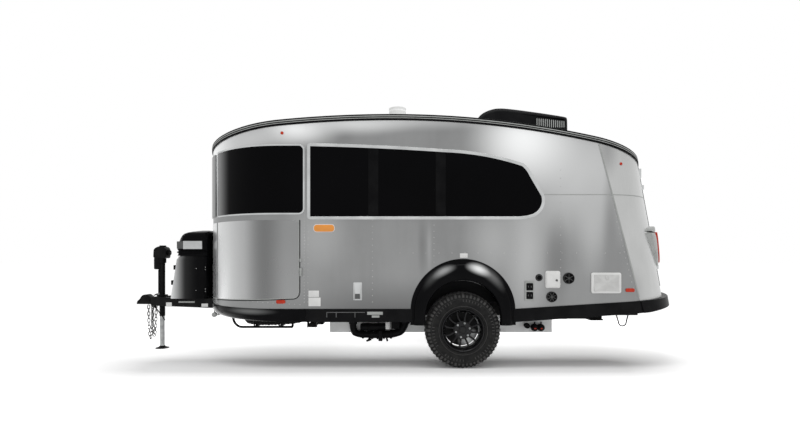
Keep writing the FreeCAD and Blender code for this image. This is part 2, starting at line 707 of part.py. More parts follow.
def flareBlock():
    # the space that a flare and the wheel opening take out of the skirt
    reach = float(s.flareRadius)
    centre = float(s.wheelReach)
    high = float(s.flareHeight) + float(s.overrun)
    return across(acrossFace([(centre - reach, 0), (centre + reach, 0), (centre + reach, high),
                              (centre - reach, high)]))


def floor():
    plan = form(-float(s.wallThickness))
    slab = plan.common(raised(Part.Face(Part.makePolygon(
        [at(farFront, -farRear, 0), at(farRear, -farRear, 0), at(farRear, farRear, 0),
         at(farFront, farRear, 0),
         at(farFront, -farRear, 0)])), float(s.frameTop), float(s.frameTop) + float(s.floorThickness)))
    outer = float(s.wellRadius) + float(s.wellWall)
    for side in sides.values():
        low = at(float(s.wheelReach) - outer, side * float(s.wellDepth) if side > 0 else -farRear, 0)
        slab = slab.cut(Part.makeBox(2 * outer, farRear - float(s.wellDepth), float(s.formLow) * 2 + outer,
                                     low))
    node("floor", feature("floorSlab", slab))
    wells = []
    for side in sides.values():
        axis = at(0, side, 0)
        length = float(s.wallHalfWidth) - float(s.wallThickness) - float(s.wellDepth)
        start = at(s.wheelReach, side * float(s.wellDepth), s.archHeight)
        drum = Part.makeCylinder(outer, length, start, axis)
        hollow = Part.makeCylinder(float(s.wellRadius), length, start + axis * float(s.wellWall), axis)
        above = Part.makeBox(farRear, 4 * float(s.wallHalfWidth), farHigh,
                             at(-float(s.wheelReach), -2 * float(s.wallHalfWidth), float(s.frameTop)))
        wells.append(drum.cut(hollow).common(above))
    node("wheel_wells", feature("wheelWells", Part.makeCompound(wells)))


# chassis

def tongueRailShape(side, grow=0.0):
    low = float(s.frameTop) - float(s.tongueRailHeight) - grow
    half = float(s.tongueRailWidth) / 2 + grow
    tip = at(-float(s.tongueTip), side * float(s.tongueTipHalf), low)
    root = at(-float(s.tongueRoot), side * float(s.tongueRootHalf), low)
    run = root - tip
    normal = FreeCAD.Vector(-run.y, run.x, 0).normalize() * half
    corners = [tip + normal, root + normal, root - normal, tip - normal, tip + normal]
    return Part.Face(Part.makePolygon(corners)).extrude(at(0, 0, float(s.tongueRailHeight) + 2 * grow))


def chassis():
    railLow = s.frameTop - s.railHeight
    for name, side in sides.items():
        inner = s.railHalfSpacing - s.railWidth / 2
        outer = s.railHalfSpacing + s.railWidth / 2
        low, high = (inner, outer) if side > 0 else (-outer, -inner)
        rail = box("rail" + name, (-s.railFront, low, railLow), (s.railRear, high, s.frameTop))
        node("frame_rail_" + name, rail)
        shape = tongueRailShape(side)
        inboard = Part.makeBox(farRear, 2 * farRear, farHigh, at(-float(s.railFront), -farRear, 0))
        keep = Part.makeBox(farRear, 2 * float(s.railHalfSpacing) - float(s.railWidth), farHigh,
                            at(-float(s.railFront), -float(inner), 0))
        shape = shape.cut(inboard.cut(keep))
        node("tongue_rail_" + name, feature("tongueRail" + name, shape))
    half = s.railHalfSpacing - s.railWidth / 2
    starts = {"front": -s.railFront + s.crossWidth * 6, "middle": -s.crossWidth * 14,
              "axle": s.crossWidth * 4,
              "rear": s.railRear - s.crossWidth * 14, "end": s.railRear - s.crossWidth}
    members = [box("cross" + name, (start, -half, s.frameTop - s.crossHeight),
                   (start + s.crossWidth, half, s.frameTop))
               for name, start in starts.items()]
    node("cross_members", grouped("crossMembers", members))


def coupler():
    half = s.couplerHalfWidth
    outline = [(-s.couplerBack, -half * 1.5), (-s.couplerBack, half * 1.5), (-s.tongueTip - s.overrun, half),
               (-s.couplerTip + half / 2, half), (-s.couplerTip, half / 2), (-s.couplerTip, -half / 2),
               (-s.couplerTip + half / 2, -half), (-s.tongueTip - s.overrun, -half)]
    block = padded("couplerBlock", "xy", outline, s.couplerBottom, s.couplerTop - s.couplerBottom)
    slots = [feature("couplerSlot" + name, tongueRailShape(side, gap)) for name, side in sides.items()]
    socket = rod("ballSocket", s.ballRadius, s.socketDepth, (-s.socketCentre, 0, s.couplerBottom), "z")
    pole = rod("jackHole", s.jackTubeRadius + s.seatGap, s.couplerTop * 2, (-s.jackReach, 0, 0), "z")
    shell = cut("couplerBody", block, [socket, pole] + slots)
    latch = box("couplerLatch", (-s.tongueTip - s.latchLength, -s.latchWidth / 2, s.couplerTop),
                (-s.tongueTip, s.latchWidth / 2, s.couplerTop + s.latchHeight))
    node("coupler", fused("couplerWhole", [shell, latch]))


def jack():
    reach = -s.jackReach
    tube = rod("jackTube", s.jackTubeRadius, s.jackTubeTop - s.jackTubeLow, (reach, 0, s.jackTubeLow), "z")
    flange = rod("jackFlange", s.flangeRadius, s.flangeThickness, (reach, 0, s.couplerTop), "z")
    bevel = float(s.headBevel)
    head = Part.makeBox(float(s.headFront) - float(s.headRear) - 2 * bevel, 2 * float(s.headHalfWidth),
                        float(s.headTop) - float(s.headLow) - bevel,
                        at(-s.headFront, -s.headHalfWidth, s.headLow))
    head = head.makeChamfer(bevel, [edge for edge in head.Edges if edge.BoundBox.ZMin > float(s.headLow)
                                    or edge.BoundBox.ZLength > bevel])
    motor = rod("jackMotor", s.motorRadius, s.headLow - s.motorLow, (-s.motorReach, 0, s.motorLow), "z")
    case = feature("jackCase", head)
    cap = rod("jackCap", s.headCapRadius, s.headTop - s.headLow, (reach, 0, s.headLow), "z")
    knob = rod("jackKnob", s.knobRadius, s.headFront - s.headRear,
               (-s.headFront, 0, s.headLow + s.headHalfWidth), "x")
    outer = fused("jackOuter", [tube, flange, case, cap, knob, motor])
    bore = rod("jackBore", s.jackTubeRadius - s.jackTubeWall, s.jackBoreTop - s.jackTubeLow
               + s.overrun, (reach, 0, s.jackTubeLow - s.overrun), "z")
    node("jack_housing", cut("jackHousing", outer, [bore]))
    leg = rod("legTube", s.legRadius, s.legTop, (reach, 0, 0), "z")
    foot = rod("legFoot", s.footRadius, s.footThickness, (reach, 0, 0), "z")
    solid = fused("legSolid", [leg, foot])
    core = rod("legBore", s.legRadius - s.legWall, s.legTop, (reach, 0, s.footThickness), "z")
    node("jack_leg", cut("jackLeg", solid, [core]))


def chainLink(centre, turn):
    # one link: a chamfered frame of wire lying in the plane that the turn about Z gives
    half, width, wire = float(s.linkLength) / 2, float(s.linkWidth) / 2, float(s.linkWire)

    def loop(inset):
        a, b = half - inset, width - inset
        corners = [(0, -a), (b, -a + b), (b, a - b), (0, a), (-b, a - b), (-b, -a + b)]
        return Part.Face(Part.makePolygon([at(x, -wire / 2, z) for x, z in corners + corners[:1]]))

    link = loop(0).cut(loop(wire)).extrude(at(0, wire, 0))
    link.rotate(at(0, 0, 0), at(0, 0, 1), turn)
    link.translate(centre)
    return link


def chains():
    # each chain hangs in a narrow loop, its two runs side by side and turned link by link
    pitch = float(s.linkLength) - 2 * float(s.linkWire) - gap
    count = int(float(s.chainDrop) // pitch)
    top = float(s.couplerBottom) - gap - float(s.linkLength) / 2
    links = []
    for side in sides.values():
        for run in (-1, 1):
            for i in range(count):
                place = at(-float(s.chainFront) + (run + 1) * float(s.chainLoopWidth) / 2,
                           side * float(s.chainHalfSpacing), top - i * pitch)
                links.append(chainLink(place, 90 * (i % 2)))
    node("safety_chains", feature("safetyChains", Part.makeCompound(links)))


def eased(name, outline, half, radius):
    # a side outline carried across to both faces, with its upright corners rounded
    points = [(float(x), float(z)) for x, z in outline]
    face = acrossFace(points)
    face.translate(at(0, -half, 0))
    solid = face.extrude(at(0, 2 * float(half), 0))
    upright = [edge for edge in solid.Edges if abs(edge.tangentAt(edge.FirstParameter).z) > 0.9
               and abs(edge.tangentAt(edge.FirstParameter).y) < 0.1]
    return feature(name, solid.makeFillet(float(radius), upright))


def bottleCover():
    half = s.coverHalfWidth
    outline = [(-s.coverFront, s.coverLow), (-s.coverRear, s.coverLow), (-s.coverRear, s.coverHigh),
               (-s.coverFrontTop, s.coverHigh)]
    outer = eased("coverOuter", outline, half, s.coverCornerRadius)
    wall = s.coverWall
    hollow = [(-s.coverFront + wall, s.coverLow + wall), (-s.coverRear - wall, s.coverLow + wall),
              (-s.coverRear - wall, s.coverHigh + s.overrun), (-s.coverFrontTop + wall,
                                                               s.coverHigh + s.overrun)]
    inner = eased("coverInner", hollow, half - wall, s.coverCornerRadius - wall)
    shell = cut("coverShell", outer, [inner])
    fixed, moving = coverHinge()
    node("bottle_cover", fused("bottleCover", [shell] + fixed))
    bottles = []
    for side in (-1, 1):
        middle = s.bottleSpacing / 2 * side
        reach = -(s.coverFrontTop + s.coverRear) / 2
        bottles.append(rod("bottle%d" % side, s.bottleRadius, s.bottleHigh - s.coverLow - wall,
                           (reach, middle, s.coverLow + wall), "z"))
    node("gas_bottles", grouped("gasBottles", bottles))
    lid = [(-s.lidFront, s.lidLow), (-s.lidRear, s.lidLow), (-s.lidRear, s.lidHigh),
           (-s.lidFront + wall * 8, s.lidHigh - wall * 3),
           (-s.lidFront, s.lidFrontHigh)]
    lidOuter = eased("lidOuter", lid, half, s.coverCornerRadius)
    under = [(-s.lidFront + wall, s.lidLow - s.overrun), (-s.lidRear - wall, s.lidLow - s.overrun),
             (-s.lidRear - wall, s.lidHigh - wall), (-s.lidFront + wall * 8.5, s.lidHigh - wall * 4),
             (-s.lidFront + wall, s.lidFrontHigh - wall)]
    lidInner = eased("lidInner", under, half - wall, s.coverCornerRadius - wall)
    node("bottle_lid", fused("bottleLid", [cut("lidShell", lidOuter, [lidInner])] + moving))


# wheels

def wheelPair():
    for name, side in sides.items():
        outer = s.tyreOuterFace * side
        inner = (s.tyreOuterFace - s.tyreWidth) * side
        width = s.tyreWidth
        shoulder = s.tyreShoulder
        profile = [(outer, s.rimRadius), (outer, s.wheelRadius - shoulder),
                   (outer - side * shoulder, s.wheelRadius), (inner + side * shoulder, s.wheelRadius),
                   (inner, s.wheelRadius - shoulder), (inner, s.rimRadius)]
        centre = (s.wheelReach, 0, s.wheelRadius)
        node("tyre_" + name, revolved("tyre" + name, profile, centre))
        rimOuter = (s.tyreOuterFace - s.tyreShoulder / 2) * side
        rimInner = rimOuter - side * s.rimWidth
        barrel = [(rimOuter, s.rimRadius - s.seatGap), (rimInner, s.rimRadius - s.seatGap),
                  (rimInner, s.rimRadius - s.rimWall * 2), (rimOuter, s.rimRadius - s.rimWall * 2)]
        ring = revolved("rimBarrel" + name, barrel, centre)
        rim = ring
        spoke = rim.newObject("Sketcher::SketchObject", "spokeSketch" + name)
        origin = next(item for item in rim.Origin.OriginFeatures if item.Role == "XZ_Plane")
        spoke.AttachmentSupport = [(origin, "")]
        spoke.MapMode = "FlatFace"
        # the sketch looks along -Y, so its own height runs towards -Y
        start = s.discThickness - s.discFace if side > 0 else s.discFace
        bind(spoke, "AttachmentOffset.Base.z", start)
        half = s.spokeWidth / 2
        outline = [(-half, 0), (half, 0), (half / 2, s.rimRadius - s.rimWall),
                   (-half / 2, s.rimRadius - s.rimWall)]
        traced(spoke, outline)
        blade = rim.newObject("PartDesign::Pad", "spokePad" + name)
        blade.Profile = spoke
        blade.Reversed = True
        bind(blade, "Length", s.discThickness)
        doc.recompute()
        pattern = rim.newObject("PartDesign::PolarPattern", "spokePattern" + name)
        pattern.Originals = [blade]
        axisLine = next(item for item in rim.Origin.OriginFeatures if item.Role == "Y_Axis")
        pattern.Axis = (axisLine, [""])
        pattern.Angle = 360
        bind(pattern, "Occurrences", s.spokeCount)
        rim.Tip = pattern
        low = s.discFace - s.discThickness if side > 0 else -s.discFace
        pad = rod("hubPad" + name, s.hubRadius, s.discThickness, (s.wheelReach, low, s.wheelRadius), "y")
        cap = rod("hubCap" + name, s.hubCapRadius, s.hubCapReach - s.discFace,
                  (s.wheelReach, s.discFace if side > 0 else -s.hubCapReach, s.wheelRadius), "y")
        # the hub turns with the wheel: a flange, a brake drum and a bored boss
        back = s.discFace - s.discThickness
        boss = rod("hubBoss" + name, s.hubRadius, back - s.hubInner,
                   (s.wheelReach, s.hubInner if side > 0 else -back, s.wheelRadius), "y")
        drumStart = s.hubInner + s.discThickness
        drum = rod("brakeDrum" + name, s.drumRadius, s.drumDepth,
                   (s.wheelReach, drumStart if side > 0 else -drumStart - s.drumDepth, s.wheelRadius), "y")
        hubSolid = fused("hubSolid" + name, [boss, drum])
        depth = s.spindleEnd - s.hubInner + s.movingGap + s.overrun
        bore = rod("hubBore" + name, s.spindleRadius + s.runningGap, depth,
                   (s.wheelReach, s.hubInner - s.overrun if side > 0 else -s.hubInner + s.overrun - depth,
                    s.wheelRadius), "y")
        node("rim_" + name, fused("rim" + name, [rim, pad, cap, cut("hub" + name, hubSolid, [bore])]))


def axle():
    half = s.axleSide / 2
    beam = box("axleBeam", (s.axleReach - half, -s.axleHalfLength, s.axleHeight - half),
               (s.axleReach + half, s.axleHalfLength, s.axleHeight + half))
    arms = []
    for name, side in sides.items():
        low = s.axleHalfLength if side > 0 else -s.axleHalfLength - s.armThickness
        outline = [(s.axleReach - half, s.axleHeight - half), (s.wheelReach + half, s.wheelRadius - half),
                   (s.wheelReach + half, s.wheelRadius + half), (s.axleReach - half, s.axleHeight + half)]
        arm = padded("armPlate" + name, "xz", outline, low + s.armThickness, s.armThickness)
        start = s.axleHalfLength if side > 0 else -s.spindleEnd
        spindle = rod("spindle" + name, s.spindleRadius, s.spindleEnd - s.axleHalfLength,
                      (s.wheelReach, start, s.wheelRadius), "y")
        arms.append(fused("axleArm" + name, [arm, spindle]))
    node("axle", fused("axleSolid", [beam] + arms))


def flares():
    pieces = []
    for side in sides.values():
        wallFace = float(s.wallHalfWidth)
        depth = float(s.flareReach) - wallFace

        def block(radius, low, reach, start):
            circle = Part.Face(Part.Wire(Part.makeCircle(radius,
                                                         at(s.wheelReach, side * start, s.flareHeight),
                                                         at(0, 1, 0))))
            foot = Part.Face(Part.makePolygon([at(x, side * start, z) for x, z in (
                (float(s.wheelReach) - radius, low), (float(s.wheelReach) + radius, low),
                (float(s.wheelReach) + radius, float(s.flareHeight)),
                (float(s.wheelReach) - radius, float(s.flareHeight)), (float(s.wheelReach) - radius, low))]))
            return circle.extrude(at(0, side * reach,
                                     0)).fuse(foot.extrude(at(0, side * reach, 0))).removeSplitter()

        flange = block(float(s.flareRadius), float(s.flareLow), float(s.flareFlangeThickness), wallFace)
        band = block(float(s.flareRadius) - float(s.flangeWidth), float(s.flareLow), depth, wallFace)
        outerEdges = [edge for edge in band.Edges if abs(edge.CenterOfMass.y - side * float(s.flareReach)) < 1
                      and edge.CenterOfMass.z > float(s.flareLow) + 1]
        band = band.makeChamfer(float(s.flareRound), outerEdges)
        pieces += flange.fuse(band).cut(archZone).Solids
    node("wheel_flares", feature("wheelFlares", Part.makeCompound(pieces)))


def underbody():
    half = s.tankHalfWidth
    front = box("tankFrontBox", (s.tankFront, -half, s.tankLow), (s.tankFrontEnd, half, s.tankHigh))
    rear = box("tankRearBox", (s.tankRearStart, -half, s.tankLow), (s.tankRear, half, s.tankHigh))
    node("tank_enclosures", grouped("tankEnclosures", [front, rear]))
    # a drain pipe with a pump above it hangs on the front tank, and two valves stand on the rear one
    y = -s.pipeReach
    run = rod("drainRun", s.pipeRadius, s.pipeRear - s.pipeFront, (s.pipeFront, y, s.pipeHeight), "x")
    inlets = []
    for i, reach in enumerate((s.pipeFront + s.pipeRadius, s.pipeRear - s.pipeRadius)):
        inlets.append(rod("drainLeg%d" % i, s.pipeRadius, s.pumpHeight - s.pipeHeight,
                          (reach, y, s.pipeHeight), "z"))
        inlets.append(box("drainElbow%d" % i, (reach - s.pipeRadius, y - s.pipeRadius, s.pumpHeight),
                          (reach + s.pipeRadius, -half, s.pumpHeight + s.pipeRadius * 2)))
    middle = (s.pipeFront + s.pipeRear) / 2
    valve = box("drainValve", (middle - s.valveSize, y - s.valveSize, s.pipeHeight - s.valveSize),
                (middle + s.valveSize, y + s.valveSize, s.pumpHeight))
    pump = rod("drainPump", s.pumpRadius, s.pumpRear - s.pumpFront, (s.pumpFront, y, s.pumpHeight), "x")
    pieces = [fused("drainSet", [run] + inlets + [valve, pump])]
    for i in range(2):
        reach = s.valveReach - s.valveSpacing * i
        body = box("outletBody%d" % i, (reach - s.valveSize / 2, -half - s.valveSize,
                                        s.valveHeight - s.valveSize / 2),
                   (reach + s.valveSize / 2, -half, s.valveHeight + s.valveSize / 2))
        grip = rod("outletGrip%d" % i, s.handleRadius, s.handleReach,
                   (reach, -half - s.valveSize / 2, s.valveHeight), "x")
        pieces.append(fused("outlet%d" % i, [body, grip]))
    node("drain_pipes", grouped("drainPipes", pieces))


def spare():
    tyre = rod("spareTyre", s.spareRadius, s.spareThickness,
               (-s.spareReach, 0, s.spareLow + s.carrierTube * 2), "z")
    hole = rod("spareHole", s.spareHole, s.spareThickness - s.rimWall * 2,
               (-s.spareReach, 0, s.spareLow + s.carrierTube * 2), "z")
    node("spare_wheel", cut("spareWheel", tyre, [hole]))
    bows = []
    height = s.spareLow + s.carrierTube
    share = (s.tongueTip - s.carrierFront) / (s.tongueTip - s.tongueRoot)
    frontHalf = s.tongueTipHalf + (s.tongueRootHalf - s.tongueTipHalf) * share
    for place, reach, half, depth in (("Front", s.carrierFront, frontHalf, s.tongueRailHeight),
                                      ("Rear", s.carrierRear, s.railHalfSpacing, s.railHeight)):
        bows.append(rod("carrierBow" + place, s.carrierTube, half * 2, (-reach, -half, height), "y"))
        for name, side in sides.items():
            bows.append(rod("carrierHanger" + place + name, s.carrierTube, s.frameTop - depth - height,
                            (-reach, half * side, height), "z"))
    for name, side in sides.items():
        bows.append(rod("carrierRunner" + name, s.carrierTube, s.carrierFront - s.carrierRear,
                        (-s.carrierFront, s.carrierHalfSpacing * side, s.spareLow + s.carrierTube), "x"))
    node("spare_carrier", fused("spareCarrier", bows))


def stabilisers():
    half = s.stabWidth / 2
    ear = half + s.movingGap
    wall = s.stabFootDepth
    brackets = []
    for name, side in sides.items():
        y = s.stabHalfSpacing * side
        beamLow = s.frameTop - s.crossHeight
        rail = s.railHalfSpacing + s.railWidth / 2
        edge = s.stabHalfSpacing + ear + wall
        span = (rail, edge) if side > 0 else (-edge, -rail)
        # front legs fold inwards across the body, rear legs fold back along it
        for end, reach in (("front", s.stabFront), ("rear", s.stabRear)):
            height = s.stabFrontHeight if end == "front" else s.stabHeight
            low = height - s.stabDepth / 2
            high = height + s.stabDepth / 2
            tag = end + name
            beam = box("stabBeam" + tag, (reach - ear - wall, span[0], beamLow),
                       (reach + ear + wall, span[1], s.frameTop))
            pieces = [beam]
            for sign in (-1, 1):
                offset = (ear + wall / 2) * sign
                if end == "front":
                    pieces.append(box("stabEar%s%d" % (tag, sign), (reach + offset - wall / 2, y - half, low),
                                      (reach + offset + wall / 2, y + half, beamLow)))
                else:
                    pieces.append(box("stabEar%s%d" % (tag, sign), (reach - half, y + offset - wall / 2, low),
                                      (reach + half, y + offset + wall / 2, beamLow)))
            along = "x" if end == "front" else "y"
            start = (reach - ear, y, height) if end == "front" else (reach, y - ear, height)
            pieces.append(rod("stabPin" + tag, s.stabPinRadius, ear * 2, start, along))
            brackets.append(fused("stabBracket" + tag, pieces))
            hole = rod("stabHole" + tag, s.stabPinRadius + s.runningGap, ear * 2, start, along)
            if end == "front":
                inner = y - s.stabLength * side
                outer = y + half * side * 0.6
                first, last = (inner, outer) if side > 0 else (outer, inner)
                leg = box("stabLeg" + tag, (reach - half, first, low), (reach + half, last, high))
                footLow = inner if side > 0 else inner - s.stabFootWidth
                foot = box("stabFoot" + tag, (reach - s.stabFootWidth / 2, footLow, low - s.stabFootDepth),
                           (reach + s.stabFootWidth / 2, footLow + s.stabFootWidth, low))
            else:
                leg = box("stabLeg" + tag, (reach - half * 0.6, y - half, low),
                          (reach + s.stabLength, y + half, high))
                foot = box("stabFoot" + tag, (reach + s.stabLength - s.stabFootWidth, y - s.stabFootWidth / 2,
                                              low - s.stabFootDepth),
                           (reach + s.stabLength, y + s.stabFootWidth / 2, low))
            node("stabiliser_%s_%s" % (end, name),
                 cut("stabiliser" + tag, fused("stabSolid" + tag, [leg, foot]), [hole]))
    return brackets


def underside():
    node("underbody_brackets", grouped("underbodyBrackets", stabilisers() + [entryStep()]))


def entryDoor():
    thick = float(s.wallThickness) - clear
    slab = outside.cut(form(-thick)).common(doorForm)
    inset = float(s.doorWindowInset)
    pane = roundedFace((float(s.doorFront) + inset, float(s.windowLow)),
                       (float(s.doorRear) - inset, float(s.sideWindowHigh) - inset / 2),
                       float(s.windowCornerRadius))
    node("entry_door", feature("entryDoor", slab.cut(across(pane, 1))))
    glass = skin(-float(s.glassThickness), 0).common(across(grown(pane, -gap), 1))
    node("door_glass", feature("doorGlass", glass))
    # two hinges on the forward edge: leaf and barrel ends on the wall, leaf and middle barrel on the door
    axisX = s.doorFront - s.movingGap / 2
    axisY = s.wallHalfWidth + s.hingePinRadius
    third = s.hingeLength / 3
    fixed, moving = [], []
    for name, height in (("Low", s.doorLow + s.hingeLength * 2), ("High", s.doorHigh - s.hingeLength * 3)):
        leafLow, leafHigh = height, height + s.hingeLength
        fixed.append(box("hingeLeaf" + name, (axisX - s.hingeLeafWidth, s.wallHalfWidth, leafLow),
                         (axisX - s.movingGap / 2, s.wallHalfWidth + s.hingeLeafThickness, leafHigh)))
        for part, start in (("A", leafLow), ("B", leafLow + third * 2)):
            fixed.append(rod("hingeBarrel" + name + part, s.hingePinRadius, third, (axisX, axisY, start),
                             "z"))
        moving.append(box("doorLeaf" + name, (axisX + s.movingGap / 2, s.wallHalfWidth, leafLow),
                          (axisX + s.hingeLeafWidth, s.wallHalfWidth + s.hingeLeafThickness, leafHigh)))
        moving.append(rod("doorBarrel" + name, s.hingePinRadius, third - s.seatGap * 2,
                          (axisX, axisY, leafLow + third + s.seatGap), "z"))
    trimA = [rod("leafTrim" + name, s.hingePinRadius + s.seatGap, third + s.seatGap * 2,
                 (axisX, axisY, height + third - s.seatGap), "z")
             for name, height in (("Low", s.doorLow + s.hingeLength * 2),
                                  ("High", s.doorHigh - s.hingeLength * 3))]
    doorHinges = cut("doorHinges", fused("doorHingeSolids", fixed), trimA)
    trimB = []
    for name, height in (("Low", s.doorLow + s.hingeLength * 2), ("High", s.doorHigh - s.hingeLength * 3)):
        for part, start in (("A", height - s.seatGap), ("B", height + third * 2 - s.seatGap)):
            trimB.append(rod("doorTrim" + name + part, s.hingePinRadius + s.seatGap, third + s.seatGap * 2,
                             (axisX, axisY, start), "z"))
    leaves = cut("doorHingeLeaves", fused("doorLeafSolids", moving), trimB)
    plate = box("handlePlate", (s.doorRear - s.handleWidth * 2, s.wallHalfWidth,
                                s.windowLow - s.handleLength * 2),
                (s.doorRear - s.handleWidth, s.wallHalfWidth + s.hingeLeafThickness,
                 s.windowLow - s.handleLength))
    grip = box("handleGrip", (s.doorRear - s.handleWidth * 1.7, s.wallHalfWidth,
                              s.windowLow - s.handleLength * 1.8),
               (s.doorRear - s.handleWidth * 1.3, s.wallHalfWidth + s.handleProud,
                s.windowLow - s.handleLength * 1.2))
    node("door_fittings", grouped("doorFittings", [leaves, fused("doorHandle", [plate, grip])]))
    node("panel_hinges", grouped("panelHinges", [doorHinges, rearHatch()]))


def entryStep():
    half = s.stepWidth / 2
    middle = (s.doorFront + s.doorRear) / 2
    tray = box("stepTray", (middle - half, s.stepOuter - s.stepDepth, s.stepHeight),
               (middle + half, s.stepOuter, s.stepHeight + s.stepThickness))
    node("entry_step", tray)
    wall = s.stepBracketWall
    back = s.railHalfSpacing + s.railWidth / 2 + s.overrun
    front = s.wallHalfWidth - s.wallThickness - s.overrun
    pieces = []
    for sign in (-1, 1):
        face = middle + (half + s.movingGap) * sign
        low, high = (face, face + wall) if sign > 0 else (face - wall, face)
        pieces.append(box("stepPlate%d" % sign, (low, back, s.stepHeight - wall - s.seatGap),
                          (high, front, s.frameTop)))
        ledge = (face - wall * 2, face) if sign > 0 else (face, face + wall * 2)
        pieces.append(box("stepLedge%d" % sign, (ledge[0], back, s.stepHeight - wall - s.seatGap),
                          (ledge[1], front, s.stepHeight - s.seatGap)))
    return fused("stepBrackets", pieces)


def hingeLine(name, radius, length, places, axis, centre, leafs):
    # barrels in a row on one axis: two fixed ends and one moving middle at each place
    third = length / 3
    fixed, moving = [], []
    for i, start in enumerate(places):
        spots = [start, start + third * 2]
        for j, spot in enumerate(spots):
            fixed.append(rod("%sFixed%d%d" % (name, i, j), radius, third, alongAxis(axis, spot, centre),
                             axis))
            fixed.append(leafs("%sSeat%d%d" % (name, i, j), spot, third, False))
        middle = start + third + s.seatGap
        moving.append(rod("%sMoving%d" % (name, i), radius, third - s.seatGap * 2,
                          alongAxis(axis, middle, centre), axis))
        moving.append(leafs("%sLeaf%d" % (name, i), middle, third - s.seatGap * 2, True))
    return fixed, moving


def alongAxis(axis, position, centre):
    place = list(centre)
    place.insert("xyz".index(axis), position)
    return tuple(place)


def rearHatch():
    thick = float(s.wallThickness) - clear
    slab = outside.cut(form(-thick)).common(hatchZone(0))
    inset = float(s.hatchGlassInset)
    hole = hatchZone(0, float(s.hatchGlassLow), inset)
    panel = feature("hatchPanel", slab.cut(hole))
    glass = skin(-float(s.glassThickness), 0).common(hatchZone(-gap, float(s.hatchGlassLow), inset))
    node("hatch_glass", feature("hatchGlass", glass))
    # the hinge line lies just proud of the middle of the curved wall, above the hatch
    radius = s.hatchBarrelRadius
    lift = s.hatchHigh + s.movingGap / 2
    reach = s.rearReach - s.rearLean * (lift - s.skirtTop) / s.rearLeanHeight + radius
    places = [-s.hatchBarrelLength * 1.5, s.hatchBarrelLength * 0.5]

    def leafs(name, start, length, isMoving):
        low = lift - radius * 2 if isMoving else lift
        high = lift if isMoving else lift + radius * 2
        return box(name, (reach - radius * 2, start, low), (reach, start + length, high))

    fixed, moving = hingeLine("hatchHinge", radius, s.hatchBarrelLength, places, "y", (reach, lift), leafs)
    behind = feature("wallForm", outside)
    node("rear_hatch", fused("rearHatch", [panel,
                                           cut("hatchLeaves", fused("hatchLeafSolids", moving), [behind])]))
    return cut("hatchHinges", fused("hatchHingeSolids", fixed), [behind])


def roofFittings():
    half = s.conditionerHalfWidth
    front, peak, rear = float(s.conditionerFront), float(s.conditionerPeak), float(s.conditionerRear)
    high, rearHigh = float(s.conditionerHigh), float(s.conditionerRearHigh)
    shoulder = float(s.conditionerShoulder)
    rise = high - shoulder
    low, bevel = float(s.conditionerLow), float(s.conditionerBevel)
    # shares of the way from the front face to the peak, and of the rise over it
    bowShares = (0.45, 0.78)
    bow = (front + (peak - front) * bowShares[0], shoulder + rise * bowShares[1])

    def sideFace(inset):
        # the side view, its crest lowered by an inset
        crest = [at(front, 0, shoulder - inset), at(bow[0], 0, bow[1] - inset), at(peak, 0, high - inset),
                 at((rear + peak) / 2, 0, (high * 3 + rearHigh) / 4 - inset), at(rear, 0, rearHigh - inset)]
        return [at(front, 0, low)] + crest + [at(rear, 0, low)]

    def sideWire(inset, y):
        points = [point + at(0, y, 0) for point in sideFace(inset)]
        return Part.makePolygon(points + points[:1])

    rims = [sideWire(bevel, -float(half)), sideWire(0, bevel - float(half)), sideWire(0, float(half) - bevel),
            sideWire(bevel, float(half))]
    solid = Part.makeLoft(rims, True, True)
    slots = int(float(s.grilleSlots))
    pitch = (float(s.grilleRear) - float(s.grilleFront)) / slots
    depth = float(s.grilleDepth)
    for side in sides.values():
        for i in range(slots):
            low = at(float(s.grilleFront) + pitch * i, side * float(half) - depth, s.grilleLow)
            solid = solid.cut(Part.makeBox(float(s.grilleSlotWidth), 2 * depth,
                                           float(s.grilleHigh) - float(s.grilleLow), low))
    block = feature("conditionerBlock", solid)
    under = feature("roofUnder", topRoof)
    node("air_conditioner", cut("airConditioner", block, [under]))
    low = s.roofPeak - s.edgeRailHeight
    dome = rod("capDome", s.capRadius, s.capHigh - low, (s.capReach, -s.capOffset, low), "z")
    cap = cut("roofCap", dome, [under])
    reach = -s.ventReach
    curb = box("ventCurbBlock", (reach - s.ventHalf, -s.ventHalf, low),
               (reach + s.ventHalf, s.ventHalf, s.ventCurbHigh))
    throat = box("ventThroat", (reach - s.ventHole, -s.ventHole, low - s.overrun),
                 (reach + s.ventHole, s.ventHole, s.ventCurbHigh + s.overrun))
    curbShell = cut("ventCurb", curb, [under, throat])
    lidLow = s.ventCurbHigh + s.movingGap
    lidHalf = s.ventHalf + s.overrun
    lid = box("ventLidBlock", (reach - lidHalf, -lidHalf, lidLow),
              (reach + lidHalf, lidHalf, lidLow + s.ventLidThickness))
    radius = s.smallHingeRadius
    centre = (reach + lidHalf + radius, lidLow)

    def leafs(name, start, length, isMoving):
        if isMoving:
            return box(name, (reach + lidHalf, start, lidLow),
                       (centre[0], start + length, lidLow + radius * 2))
        return box(name, (reach + s.ventHalf, start, lidLow - radius * 4),
                   (centre[0], start + length, lidLow))

    fixed, moving = hingeLine("ventHinge", radius, s.ventHalf, [-s.ventHalf / 2], "y", centre, leafs)
    node("roof_vents", grouped("roofVents", [cap, fused("fanVent", [curbShell] + fixed)]))
    node("fan_lid", fused("fanLid", [lid] + moving))


